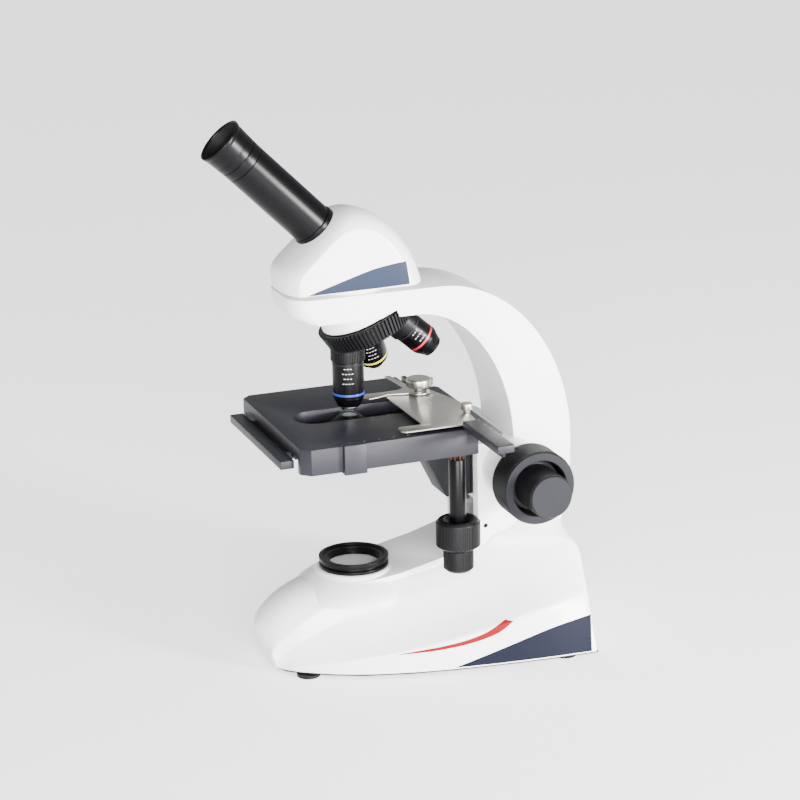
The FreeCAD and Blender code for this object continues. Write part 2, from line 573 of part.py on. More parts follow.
def focus_slide():
    half, web, flange = "slide_half", "slide_web", "slide_flange"
    corners = [(half, "slide_front"), (half, "slide_front + " + flange), (web, "slide_front + " + flange),
               (web, "slide_back - " + flange), (half, "slide_back - " + flange), (half, "slide_back")]
    low = FOCUS_Z + " - slide_high / 2"
    node(slab("focus_slide_body", "XY_Plane", both_sides(corners), low, low + " + slide_high"), "focus_slide")
    module, wide = size("tooth_module"), 14.0
    pitch_y = size("focus_y") - size("focus_pitch")
    rack = rack_solid(module, teeth_for(size("rack_long"), module), pitch_y - size("slide_back"), wide)
    place = frame_of((0, 0, 1), (0, -1, 0), (-wide / 2, pitch_y, focus_height()))
    node(made("focus_rack_piece", rack, place), "focus_rack")


def focus_drive():
    module = size("tooth_module")
    teeth = round(2 * size("focus_pitch") / module)
    wide = 12.0
    pinion = pinion_face(module, teeth, size("fine_r") + size("run_gap")).extrude(FreeCAD.Vector(0, 0, wide))
    stub = size("boss_reach") + size("knob_gap")
    reach = stub + size("coarse_hub")
    tube = Part.makeCylinder(size("coarse_r"), reach + stub, FreeCAD.Vector(0, 0, wide / 2 - reach))
    bore = Part.makeCylinder(size("fine_r") + size("run_gap"), reach + stub + 2,
                             FreeCAD.Vector(0, 0, wide / 2 - reach - 1))
    shaft = pinion.fuse(tube).cut(bore).removeSplitter()
    place = frame_of((0, -1, 0), (0, 0, 1), (wide / 2, size("focus_y"), focus_height()))
    node(made("coarse_shaft_piece", shaft, place), "coarse_shaft")
    start = "boss_reach + knob_gap"
    coarse = turned("coarse_disc", [
        ("coarse_r", start), ("coarse_knob_r", start), ("coarse_knob_r", start + " + coarse_knob_wide"),
        ("coarse_cup_r", start + " + coarse_knob_wide"), ("coarse_cup_r", start + " + coarse_hub"),
        ("coarse_r", start + " + coarse_hub")])
    face = start + " + coarse_hub + fine_gap"
    fine = turned("fine_drum", [
        ("fine_r", face), ("fine_ring_r", face), ("fine_ring_r", face + " + fine_ring_wide"),
        ("fine_knob_r", face + " + fine_ring_wide"), ("fine_knob_r", face + " + fine_knob_wide"),
        ("0", face + " + fine_knob_wide"), ("0", face + " + 8"), ("fine_r", face + " + 8")])
    for piece in (coarse, fine):
        piece.Placement = FreeCAD.Placement(FreeCAD.Vector(), FreeCAD.Rotation(FreeCAD.Vector(0, 1, 0), 90))
        at(piece, 0, "focus_y", FOCUS_Z)
    node(coarse, "coarse_knob")
    node(fine, "fine_knob")
    end = "boss_reach + knob_gap + coarse_hub + fine_gap + 8"
    node(rod("fine_shaft_rod", "fine_r", "x", "-(%s + cap_gap)" % start, end, y="focus_y", z=FOCUS_Z), "fine_shaft")
    node(rod("shaft_cap_disc", "shaft_cap_r", "x", "-(%s + cap_gap + shaft_cap_high)" % start,
             "-(%s + cap_gap)" % start, y="focus_y", z=FOCUS_Z), "shaft_cap")


# ---------------------------------------------------------------- stage

def stage_bracket():
    node(slab("bracket", "YZ_Plane", [
        ("bracket_reach", GUIDE_UNDER), ("slide_front", GUIDE_UNDER), ("slide_front", STAGE_UNDER + " - bracket_drop"),
        ("bracket_toe", STAGE_UNDER + " - bracket_drop"), ("bracket_reach", STAGE_UNDER + " - 6")],
        "-bracket_half", "bracket_half"), "stage_bracket")


def stage_guide():
    """The fixed lower plate; the stage plate slides over it."""
    plate = box("guide_plate", ("-rail_in + guide_gap", "rail_in - guide_gap"),
                ("-stage_front - nose_gap", "guide_back"), (GUIDE_UNDER, GUIDE_TOP))
    tongues = [box("tongue%d" % i, x, ("-stage_front + 2", "guide_back"),
                   (GUIDE_UNDER + " + 1.4", GUIDE_UNDER + " + 1.4 + tongue_high"))
               for i, x in enumerate((("-rail_in - tongue", "-rail_in + guide_gap"),
                                      ("rail_in - guide_gap", "rail_in + tongue")))]
    front = box("guide_front", ("-nose_half", "nose_half"), ("-guide_nose", "-stage_front - nose_gap"),
                (GUIDE_UNDER, GUIDE_TOP + " + 0.2"))
    hole = rod("guide_hole", "cond_r", "z", GUIDE_UNDER + " - 1", GUIDE_TOP + " + 1")
    node(cut("guide_cut", fuse("guide_solid", plate, front, *tongues), hole), "stage_guide")
    foot_z = GUIDE_UNDER + " - 4.6"
    side = "stage_half + block_gap"
    arm_bar = box("block_arm", ("rail_in - 9", side + " + block_thick"),
                  ("-block_y - block_long / 2", "-block_y + block_long / 2"), (foot_z, GUIDE_UNDER + " - 3.4"))
    riser = box("block_riser", ("rail_in - 9", "rail_in - 3"), ("-block_y - block_long / 2",
                "-block_y + block_long / 2"), (GUIDE_UNDER + " - 3.4", GUIDE_UNDER))
    cheek = box("block_cheek", (side, side + " + block_thick"),
                ("-block_y - block_long / 2", "-block_y + block_long / 2"), (foot_z, "stage_top - 0.4"))
    hook = box("block_hook", (side + " - 3", side + " + block_thick"),
               ("-block_y - block_long / 2", "-block_y + block_long / 2"), ("stage_top + 0.3", "stage_top + 1.1"))
    web = box("block_web", (side, side + " + block_thick"),
              ("-block_y - block_long / 2", "-block_y + block_long / 2"), ("stage_top - 0.4", "stage_top + 0.3"))
    node(fuse("index", arm_bar, riser, cheek, web, hook), "index_block")
    module = size("tooth_module")
    pitch_x = size("drive_x") - size("y_pitch")
    teeth = 14
    rack = rack_solid(module, teeth, 3.4, size("y_pinion_high"))
    top = level("stage_top - plate_thick - guide_gap - guide_thick - rack_drop")
    low = top - size("y_pinion_high")
    middle = size("drive_y") - 14.0
    place = frame_of((0, 1, 0), (-1, 0, 0), (pitch_x, size("drive_y"), low))
    rack.translate(FreeCAD.Vector(-math.pi * module * 4, 0, 0))
    rack.Placement = place.multiply(rack.Placement)
    long = math.pi * module * teeth
    near = size("drive_y") - math.pi * module * 4 - long / 2
    flange = Part.makeBox(pitch_x - 1.1 - 26.0, long, 1.2, FreeCAD.Vector(26.0, near, top - 0.2))
    riser = Part.makeBox(6.0, min(long, size("guide_back") - near), size("rack_drop"), FreeCAD.Vector(26.0, near, top))
    node(made("y_rack_piece", rack.fuse(flange).fuse(riser).removeSplitter()), "y_rack")


def stage_plate():
    edge, corner = "stage_half", "stage_corner"
    top = slab("stage_top_slab", "XY_Plane", [
        (edge, "-stage_front + " + corner), (edge, "stage_back"), ("-" + edge, "stage_back"),
        ("-" + edge, "-stage_front + " + corner), ("-%s + %s" % (edge, corner), "-stage_front"),
        ("%s - %s" % (edge, corner), "-stage_front")], STAGE_UNDER, "stage_top")
    under = box("stage_under", ("-stage_half + skirt_wide", "stage_half - skirt_wide"),
                ("-stage_front - 1", "stage_back + 1"), (STAGE_UNDER + " - 1", PLATE_UNDER))
    rails = []
    for tag, low, high in (("left", "-rail_in - rail_wide", "-rail_in"), ("right", "rail_in", "rail_in + rail_wide")):
        rail = box("stage_rail_" + tag, (low, high), ("-stage_front - nose_gap + y_travel + 0.5", "stage_back - 2"),
                   (PLATE_UNDER + " - rail_drop", PLATE_UNDER))
        rails.append(rail)
    grooves = [box("stage_groove%d" % i, x, ("-stage_front", "stage_back"),
                   (GUIDE_UNDER + " + 1.4 - 0.3", GUIDE_UNDER + " + 1.7 + tongue_high"))
               for i, x in enumerate((("-rail_in - tongue - 0.3", "-rail_in + 1"),
                                      ("rail_in - 1", "rail_in + tongue + 0.3")))]
    boss = rod("drive_boss", "journal_r + 3.4", "z", STAGE_UNDER, PLATE_UNDER, x="drive_x", y="drive_y")
    solid = fuse("stage_solid", cut("stage_shell", top, under), boss, *rails)
    slot = fuse("slot", box("slot_middle", ("-slot_half", "slot_half"), ("-slot_front + slot_half",
                "slot_back - slot_half"), (PLATE_UNDER + " - 1", "stage_top + 1")),
                rod("slot_near", "slot_half", "z", PLATE_UNDER + " - 1", "stage_top + 1", y="-slot_front + slot_half"),
                rod("slot_far", "slot_half", "z", PLATE_UNDER + " - 1", "stage_top + 1", y="slot_back - slot_half"))
    journal = rod("journal_way", "journal_r + run_gap", "z", STAGE_UNDER + " - 1", STAGE_UNDER + " + 6",
                  x="drive_x", y="drive_y")
    shaft = rod("x_shaft_way", "x_shaft_r + run_gap", "z", STAGE_UNDER, "stage_top + 1", x="drive_x", y="drive_y")
    pocket = rod("pinion_pocket", "x_pitch + 1.2", "z", "stage_top - rack_deep - 0.4", "stage_top + 1",
                 x="drive_x", y="drive_y")
    rack_way = box("rack_way", ("-2 * stage_half", "2 * stage_half"), ("drive_y + x_pitch - 1.2", "rack_back + 0.4"),
                   ("stage_top - rack_deep - 0.4", "stage_top + 1"))
    node(cut("stage_cut", solid, slot, journal, shaft, pocket, rack_way, *grooves), "stage_plate")
    node(box("x_guide_bar", ("-guide_left", "guide_right"), ("stage_back", "guide_rear"),
             ("stage_top - guide_drop", "stage_top - 0.4")), "x_guide")


def condenser():
    low = GUIDE_UNDER + " - cond_drop"
    top = "(stage_top - 0.8)"
    node(turned("condenser", [
        ("cond_bore", low), ("cond_r", low), ("cond_r", GUIDE_TOP), ("cond_neck_r", GUIDE_TOP),
        ("cond_neck_r", "stage_top - 6.4"), ("cond_top_r", top), ("cond_bore", top)]), "condenser_body")
    node(rod("condenser_glass", "cond_bore", "z", "stage_top - 4.4", "stage_top - 1"), "condenser_lens")
    ring = "(stage_top - plate_thick - guide_gap - guide_thick - cond_drop + 2)"
    outer = rod("iris_outer", "iris_r", "z", ring, ring + " + iris_high")
    handle = box("iris_handle", ("-2.5", "2.5"), ("-iris_reach", "-iris_r + 2"), (ring + " + 1", ring + " + 4"))
    inner = rod("iris_inner", "cond_r + run_gap", "z", ring + " - 1", ring + " + iris_high + 1")
    node(cut("iris", fuse("iris_solid", outer, handle), inner), "iris_ring")


def stage_drive():
    module = size("tooth_module")
    rotation = FreeCAD.Vector(size("drive_x"), size("drive_y"), 0)
    top = level("stage_top - plate_thick - guide_gap - guide_thick - rack_drop")
    low = top - size("y_pinion_high")
    teeth = round(2 * size("y_pitch") / module)
    pinion = pinion_face(module, teeth, size("journal_r")).extrude(FreeCAD.Vector(0, 0, size("y_pinion_high")))
    pinion.rotate(FreeCAD.Vector(), FreeCAD.Vector(0, 0, 1), 180.0 / teeth * (1 if teeth % 2 else 0))
    pinion.translate(rotation + FreeCAD.Vector(0, 0, low))
    node(made("y_pinion_piece", pinion), "y_pinion")
    pinion_low = "(stage_top - plate_thick - guide_gap - guide_thick - rack_drop - y_pinion_high)"
    knob_low = "(%s + x_knob_high + 0.5)" % X_KNOB_LOW
    bore = "x_shaft_r + run_gap"
    sleeve = turned("sleeve", [
        (bore, knob_low), ("sleeve_r", knob_low), ("sleeve_r", pinion_low), ("journal_r", pinion_low),
        ("journal_r", STAGE_UNDER + " + 5"), (bore, STAGE_UNDER + " + 5")])
    y_knob = turned("y_knob_body", [
        ("sleeve_r", knob_low), ("x_knob_r + 0.5", knob_low), ("y_knob_r", knob_low + " + 3"),
        ("y_knob_r", knob_low + " + y_knob_high - 2"), ("y_knob_r - 2", knob_low + " + y_knob_high"),
        ("sleeve_r + 4", knob_low + " + y_knob_high"), ("sleeve_r", knob_low + " + y_knob_high - 5")])
    x_knob = turned("x_knob_body", [
        ("0", X_KNOB_LOW), ("x_knob_r - 2", X_KNOB_LOW), ("x_knob_r", X_KNOB_LOW + " + 2"),
        ("x_knob_r", X_KNOB_LOW + " + x_knob_high"), ("x_shaft_r", X_KNOB_LOW + " + x_knob_high"),
        ("x_shaft_r", X_KNOB_LOW + " + 6"), ("0", X_KNOB_LOW + " + 6")])
    for piece, label in ((sleeve, "y_sleeve"), (y_knob, "y_knob"), (x_knob, "x_knob")):
        node(at(piece, "drive_x", "drive_y"), label)
    fine_module = size("x_module")
    fine_teeth = round(2 * size("x_pitch") / fine_module)
    shaft_low = level("shoulder_mid + travel_down + drive_clear") + 6.0
    pinion_base = size("stage_top") - size("rack_deep")
    shaft_top = pinion_base + 2.9
    shaft = Part.makeCylinder(size("x_shaft_r"), shaft_top - shaft_low, FreeCAD.Vector(0, 0, shaft_low))
    gear = pinion_face(fine_module, fine_teeth, 0).extrude(FreeCAD.Vector(0, 0, 2.9))
    gear.translate(FreeCAD.Vector(0, 0, pinion_base))
    whole = shaft.fuse(gear).removeSplitter()
    whole.translate(rotation)
    node(made("x_shaft_piece", whole), "x_shaft")


# ---------------------------------------------------------------- specimen carrier

def specimen_carrier():
    shelf = box("bar_shelf", ("-bar_left", "bar_step"), ("bar_front", "stage_back + 8"),
                (BAR_LOW, BAR_LOW + " + shelf_high"))
    rail = box("bar_rail", ("bar_step", "bar_right"), ("bar_front", "bar_back"), (BAR_LOW, BAR_LOW + " + bar_high"))
    node(fuse("bar", shelf, rail), "x_bar")
    module = size("x_module")
    pitch_y = size("drive_y") + size("x_pitch")
    left, right = -size("bar_left") + 2, size("bar_right") - 2
    middle = size("drive_x")
    step = math.pi * module
    deep = size("rack_deep") + size("bar_low")
    low = size("stage_top") - size("rack_deep")
    teeth_left, teeth_right = int((middle - left) / step), int((right - middle) / step)
    teeth = teeth_left + teeth_right
    rack = rack_solid(module, teeth, size("rack_back") - pitch_y, deep)
    rack.translate(FreeCAD.Vector(step * (teeth / 2 - teeth_left), 0, 0))
    rack.translate(FreeCAD.Vector(middle, pitch_y, low))
    rack.rotate(FreeCAD.Vector(middle, pitch_y, 0), FreeCAD.Vector(0, 0, 1), 0)
    node(made("x_rack_piece", rack), "x_rack")
    leaf = slab("leaf", "XY_Plane", [
        ("-leaf_left + 10.4", "leaf_front"), ("jaw_in - 1.5", "leaf_front"), ("jaw_in", "leaf_front - 1.5"),
        ("jaw_in", "jaw_front + 2"), ("jaw_in + 2", "jaw_front"), ("leaf_right - 2", "jaw_front"),
        ("leaf_right", "jaw_front + 3"), ("leaf_right", "bar_back"), ("12", "stage_back + 8"),
        ("-leaf_left", "bar_back - 4"), ("-leaf_left", "leaf_front + 16")], LEAF_LOW, LEAF_TOP)
    post_hole = rod("post_hole", "pivot_r", "z", LEAF_LOW + " - 1", LEAF_TOP + " + 1", x="-pivot_x", y="pivot_y")
    node(cut("leaf_cut", leaf, post_hole), "specimen_plate")
    thumbs = []
    for i, (x, y) in enumerate((("-24", "66"), ("42", "68.5"))):
        neck = rod("thumb_neck%d" % i, "thumb_neck", "z", LEAF_TOP, LEAF_TOP + " + 2.6", x=x, y=y)
        head = rod("thumb_head%d" % i, "thumb_r", "z", LEAF_TOP + " + 2.6", LEAF_TOP + " + thumb_high", x=x, y=y)
        thumbs.append(fuse("thumb%d" % i, neck, head))
    node(fuse("thumbs", *thumbs), "holder_screws")
    clip_low = "(%s + clip_lift)" % LEAF_TOP
    node(at(turned("clip_post_body", [
        ("0", LEAF_LOW), ("pivot_r", LEAF_LOW), ("pivot_r", LEAF_TOP + " + cap_lift"),
        ("pivot_cap_r", LEAF_TOP + " + cap_lift"), ("pivot_cap_r", LEAF_TOP + " + cap_lift + cap_high - 1"),
        ("pivot_cap_r - 1", LEAF_TOP + " + cap_lift + cap_high"), ("0", LEAF_TOP + " + cap_lift + cap_high")]),
        "-pivot_x", "pivot_y"), "clip_post")
    blade = slab("clip_blade", "XY_Plane", [
        ("-44", "-9"), ("-12", "-7"), ("-9", "-12"), ("-8", "-24"), ("-9", "-41"), ("-3", "-42.5"),
        ("3.5", "-37"), ("2.5", "-31"), ("-1", "-22"), ("2", "-8"), ("7", "-3"), ("6", "6"), ("-6", "6"),
        ("-20", "-2"), ("-44", "-5")], clip_low, clip_low + " + clip_gauge")
    hub = rod("clip_hub", "clip_hub_r", "z", clip_low, clip_low + " + clip_gauge")
    eye = rod("clip_eye", "pivot_r + run_gap", "z", clip_low + " - 1", clip_low + " + clip_gauge + 1")
    node(at(cut("clip_cut", fuse("clip_solid", blade, hub), eye), "-pivot_x", "pivot_y"), "finger_clip")


# ---------------------------------------------------------------- nosepiece and objectives

def apex_point():
    return FreeCAD.Vector(0, 0, level("stage_top + slide_gap + parfocal + seat_reach"))


def tilt_turn():
    return FreeCAD.Rotation(FreeCAD.Vector(1, 0, 0), size("tilt"))


def nosepiece_axis():
    return tilt_turn().multVec(FreeCAD.Vector(0, 0, -1))


def station(place):
    """The placement of the objective at one of the four places; place 0 is the working one."""
    return FreeCAD.Placement(apex_point(), FreeCAD.Rotation(nosepiece_axis(), 90 * place))


def downwards(points):
    """Corners given as distances below the apex, turned into heights."""
    return [(radius, "-(%s)" % distance) for radius, distance in points]


def nosepiece():
    mount = tilted("mount_start", "ring_start - mount_gap", "mount_r", "mount_disc")
    keep = box("mount_keep", ("-2 * mount_r", "2 * mount_r"), ("-2 * mount_r", "2 * mount_r"),
               (ARM_UNDER + " - 2 * mount_r", ARM_UNDER))
    light = rod("mount_light", "light_r", "z", ARM_UNDER + " - 40", APEX)
    pin_seat = tilted("mount_start - 1", "ring_start + 1", "pivot_pin_r", "mount_pin_seat")
    node(cut("mount_cut", common("mount_common", mount, keep), light, pin_seat), "nosepiece_mount")
    pin = turned("pivot_pin", downwards([
        ("0", "mount_start"), ("pivot_pin_r", "mount_start"), ("pivot_pin_r", "ring_end + 2.6"),
        ("pivot_head_r", "ring_end + 2.6"), ("pivot_head_r", "ring_end + 6"), ("0", "ring_end + 6")]))
    disc = turned("turret", downwards([
        ("pivot_pin_r + run_gap", "disc_start"), ("disc_r", "disc_start"),
        ("disc_r", "seat_reach / cos(tilt) - disc_r * tan(tilt)"),
        ("pivot_head_r + 0.4", "seat_reach / cos(tilt) - (pivot_head_r + 0.4) * tan(tilt)"),
        ("pivot_head_r + 0.4", "ring_end + 2.2"), ("pivot_pin_r + run_gap", "ring_end + 2.2")]))
    ring = turned("grip", downwards([
        ("disc_r", "ring_start + 0.4"), ("ring_top_r", "ring_start + 0.4"), ("ring_low_r", "ring_end"),
        ("disc_r", "ring_end")]))
    home = FreeCAD.Placement(apex_point(), tilt_turn())
    for piece in (pin, disc, ring):
        piece.Placement = home
    for piece in (pin, disc, ring):
        at(piece, 0, 0, APEX)
    node(pin, "turret_pivot")
    ports = []
    for place in range(4):
        port = turned("port%d" % place, downwards([
            ("0", "20"), ("port_light_r", "20"), ("port_light_r", "seat_reach - thread_deep"),
            ("thread_r", "seat_reach - thread_deep"), ("thread_r", "seat_reach + 1"), ("0", "seat_reach + 1")]))
        port.Placement = station(place)
        at(port, 0, 0, APEX)
        collar = turned("port_face%d" % place, downwards([("0", "seat_reach"), ("collar_r + 0.4", "seat_reach"),
                                                          ("collar_r + 0.4", "seat_reach + 8"),
                                                          ("0", "seat_reach + 8")]))
        collar.Placement = station(place)
        at(collar, 0, 0, APEX)
        ports += [port, collar]
    node(cut("turret_cut", disc, *ports), "turret_disc")
    ring_faces = []
    for place in range(4):
        face = turned("ring_face%d" % place, downwards([("0", "seat_reach"), ("collar_r + 0.4", "seat_reach"),
                                                        ("collar_r + 0.4", "seat_reach + 8"),
                                                        ("0", "seat_reach + 8")]))
        face.Placement = station(place)
        at(face, 0, 0, APEX)
        ring_faces += [face, ports[2 * place]]
    node(cut("grip_cut", ring, *ring_faces), "grip_ring")


# label, place, body length to the taper, taper length, shoulder radius after the taper, tip length, tip radius
OBJECTIVES = (
    ("objective_40x", 0, "33.6", "6.8", "8", "2.9", "3.4"),
    ("objective_10x", 1, "31.0", "5.0", "7.2", "1.2", "5.4"),
    ("objective_4x", 2, "26.0", "7.0", "8", "1.0", "7.0"),
)


def objectives():
    lenses = []
    for label, place, body, taper, nose_r, tip, tip_r in OBJECTIVES:
        end = "seat_reach + %s + %s + %s" % (body, taper, tip)
        piece = turned(label + "_body", downwards([
            ("5", "seat_reach - thread_deep + 0.5"), ("thread_r - thread_gap", "seat_reach - thread_deep + 0.5"),
            ("thread_r - thread_gap", "seat_reach"), ("collar_r", "seat_reach"), ("collar_r", "seat_reach + 8.8"),
            ("barrel_r", "seat_reach + 8.8"), ("barrel_r", "seat_reach + %s" % body),
            (nose_r, "seat_reach + %s + %s" % (body, taper)), ("%s + 1.6" % tip_r, "seat_reach + %s + %s" % (body, taper)),
            (tip_r, end), ("1.8", end), ("1.8", end + " - 3"), ("5", end + " - 3")]))
        piece.Placement = station(place)
        node(at(piece, 0, 0, APEX), label)
        lens = turned(label + "_lens", downwards([("0", end + " - 2.6"), ("1.8", end + " - 2.6"),
                                                  ("1.8", end + " - 0.2"), ("0", end + " - 0.2")]))
        lens.Placement = station(place)
        lenses.append(at(lens, 0, 0, APEX))
    node(fuse("front_lenses", *lenses), "objective_lenses")


# ---------------------------------------------------------------- head and eyepiece

# Each head section: half width share, then (y, height above the head's underside) from the front round to the back
HEAD_SECTIONS = (
    ("head_half", ("-36", "0"), ("-38", "9"), ("-30", "20"), ("-4", "44"), ("8", "46"), ("24", "33"), ("34", "17"),
     ("37", "0")),
    ("head_half - 7", ("-43.5", "0"), ("-46", "11"), ("-37", "25"), ("-8", "52"), ("6", "52"), ("30", "38"),
     ("44", "18"), ("48", "0")),
    ("0", ("-46.5", "0"), ("-49", "12"), ("-38.5", "30"), ("-9.5", "53"), ("4", "53.5"), ("32", "37"),
     ("47", "16"), ("52", "0")),
)


def head_section(row, inset):
    corners = []
    for i, (y, up) in enumerate(row):
        inward = "+" if float(y) < 0 else "-"
        rise = up if i in (0, len(row) - 1) else "%s - %s" % (up, inset)
        low = "%s %s" % (HEAD_LOW, "- 1" if inset != "0" else "") if i in (0, len(row) - 1) else \
            "%s + %s" % (HEAD_LOW, rise)
        corners.append(("%s %s %s" % (y, inward, inset), low))
    return corners


def head_blank(name, inset):
    shell = inset
    right = [("%s%s" % (row[0], "" if row[0] == "0" else " - " + inset), head_section(row[1:], inset))
             for row in HEAD_SECTIONS]
    left = [("-(%s)" % half, corners) for half, corners in reversed(right[:-1])]
    return lofted(name, "YZ_Plane", right + left)


def along_tube(name, points):
    """A piece turned about the eyepiece axis; heights are measured from the tube's root."""
    piece = turned(name, points)
    piece.Placement = FreeCAD.Placement(FreeCAD.Vector(), FreeCAD.Rotation(FreeCAD.Vector(1, 0, 0), size("incline")))
    return at(piece, 0, "-tube_y", HEAD_LOW + " + tube_rise - 2.9")


def head_wedge(name, inner, outer):
    return slab(name, "YZ_Plane", [("-33", HEAD_LOW), ("31", HEAD_LOW + " + 15.5"), ("34", HEAD_LOW)],
                "head_half - %s" % inner, "head_half + %s" % outer)


def head():
    blank = head_blank("head_solid", "0")
    hollow = head_blank("head_hollow", "head_wall")
    tube_way = along_tube("tube_way", [("0", "-tube_in - 1"), ("tube_r", "-tube_in - 1"), ("tube_r", "30"), ("0", "30")])
    wedge = head_wedge("head_pocket", "1.2", "2")
    node(cut("head_cut", blank, hollow, tube_way, wedge, mirror("head_pocket_left", wedge)), "head_shell")
    trim = head_wedge("head_trim", "1.2", "0.2")
    node(fuse("head_trims_pair", trim, mirror("head_trim_left", trim)), "head_trims")
    plate = slab("head_floor", "YZ_Plane", [
        ("-34", HEAD_LOW), ("35", HEAD_LOW), ("35", HEAD_LOW + " + 2.4"), ("-34", HEAD_LOW + " + 2.4")],
        "-head_half + head_wall + 0.4", "head_half - head_wall - 0.4")
    turn = turned("head_turntable", [
        ("light_r", ARM_TOP + " - ring_fit_deep + 0.3"), ("ring_fit_r", ARM_TOP + " - ring_fit_deep + 0.3"),
        ("ring_fit_r", ARM_TOP + " + 0.3"), ("ring_lip_r", ARM_TOP + " + 0.3"), ("ring_lip_r", HEAD_LOW),
        ("light_r", HEAD_LOW)])
    hole = rod("head_floor_hole", "light_r", "z", ARM_TOP, HEAD_LOW + " + 4")
    node(cut("head_ring_cut", fuse("head_ring_solid", plate, turn), hole), "head_ring")
    node(slab("prism_block", "YZ_Plane", [
        ("-11", HEAD_LOW + " + 2.4"), ("11", HEAD_LOW + " + 2.4"), ("13", HEAD_LOW + " + 24"),
        ("3", HEAD_LOW + " + 33"), ("-8", HEAD_LOW + " + 22")], "-10", "10"), "prism")
    node(along_tube("tube", [
        ("tube_bore", "-tube_in"), ("tube_r", "-tube_in"), ("tube_r", "tube_long"), ("tube_bore", "tube_long")]),
        "eyepiece_tube")
    node(along_tube("eye_barrel", [
        ("tube_bore - run_gap - 1.2", "tube_long - eye_barrel_long"),
        ("tube_bore - run_gap", "tube_long - eye_barrel_long"), ("tube_bore - run_gap", "tube_long + 0.3"),
        ("eye_head_r", "tube_long + 0.3"), ("eye_head_r", "tube_long + eye_head_long"),
        ("tube_bore - run_gap - 1.2", "tube_long + eye_head_long")]), "eyepiece_barrel")
    node(along_tube("cup", [
        ("tube_bore - run_gap - 1.2", "tube_long + eye_head_long"), ("eye_head_r", "tube_long + eye_head_long"),
        ("eye_cup_r", "tube_long + eye_head_long + eye_cup_long"),
        ("eye_cup_r - 1.4", "tube_long + eye_head_long + eye_cup_long"),
        ("eye_hollow_r", "tube_long + eye_head_long + 2"),
        ("tube_bore - run_gap - 1.2", "tube_long + eye_head_long + 2")]), "eye_cup")
    lenses = [along_tube("eye_glass%d" % i, [("0", start), ("tube_bore - run_gap - 1.2", start),
                                             ("tube_bore - run_gap - 1.2", start + " + 3"), ("0", start + " + 4")])
              for i, start in enumerate(("tube_long - eye_barrel_long + 2", "tube_long + eye_head_long - 4.5"))]
    node(fuse("eyepiece_glasses", *lenses), "eyepiece_lenses")


casting()
underside()
trims()
lamp()
electrics()
guide_rails()
set_screws()
focus_bushings()
focus_slide()
focus_drive()
stage_bracket()
stage_guide()
stage_plate()
condenser()
stage_drive()
specimen_carrier()
nosepiece()
objectives()
head()
DOC.recompute()

for item in DOC.Objects:
    if "Invalid" in item.State or "Error" in item.State:
        raise SystemExit("failed object: %s %s" % (item.Name, item.State))
os.makedirs("parts", exist_ok=True)
for item in NODES:
    if item.Shape.isNull() or not item.Shape.isValid() or not item.Shape.Solids:
        raise SystemExit("bad shape: " + item.Label)
for item in NODES:
    item.Shape.exportStep("parts/%s.step" % item.Label)
print(len(NODES), "nodes")
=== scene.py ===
# %% [markdown]
# # A student microscope
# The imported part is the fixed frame: every size comes from its nodes, and every piece rides on one of its
# bodies. First come a few helpers, then the finishes, then the pieces from the foot up to the eyepiece.

# %% Load the frame
import bmesh
import bpy
import json
import math
from mathutils import Matrix, Vector
from mathutils.bvhtree import BVHTree


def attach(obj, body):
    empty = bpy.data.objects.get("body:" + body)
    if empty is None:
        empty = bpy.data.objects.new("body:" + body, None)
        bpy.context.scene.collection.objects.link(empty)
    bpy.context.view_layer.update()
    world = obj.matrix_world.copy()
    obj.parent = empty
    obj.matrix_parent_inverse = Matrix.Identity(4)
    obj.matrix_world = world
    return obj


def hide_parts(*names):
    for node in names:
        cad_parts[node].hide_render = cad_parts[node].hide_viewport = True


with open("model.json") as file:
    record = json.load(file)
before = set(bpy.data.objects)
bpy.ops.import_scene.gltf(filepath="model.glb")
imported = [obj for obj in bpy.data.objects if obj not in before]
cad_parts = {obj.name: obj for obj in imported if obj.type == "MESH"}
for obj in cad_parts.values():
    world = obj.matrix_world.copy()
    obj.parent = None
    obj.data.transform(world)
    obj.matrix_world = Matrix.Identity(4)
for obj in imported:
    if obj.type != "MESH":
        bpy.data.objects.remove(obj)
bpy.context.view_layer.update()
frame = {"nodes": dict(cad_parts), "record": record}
MM = 0.001


# %% [markdown]
# ## Mesh helpers
# A lathe turns a profile about the Z axis. A cage is a coarse mesh that a subdivision surface smooths, with
# creases where the real casting has an edge. A refined piece is a copy of a frame node whose duplicate points
# are merged and whose edges get a small round, because real machined edges catch the light.

# %% Turned shapes
def rounded(points, radius, steps=4):
    """Replace each inner corner of a profile by a short curve."""
    result = [Vector(points[0])]
    for before, here, after in zip(points, points[1:], points[2:]):
        a, b, c = Vector(before), Vector(here), Vector(after)
        reach = min(radius, (a - b).length / 2.2, (c - b).length / 2.2)
        start, end = b + (a - b).normalized() * reach, b + (c - b).normalized() * reach
        for i in range(steps + 1):
            u = i / steps
            result.append((1 - u) ** 2 * start + 2 * u * (1 - u) * b + u ** 2 * end)
    result.append(Vector(points[-1]))
    return [tuple(p) for p in result]


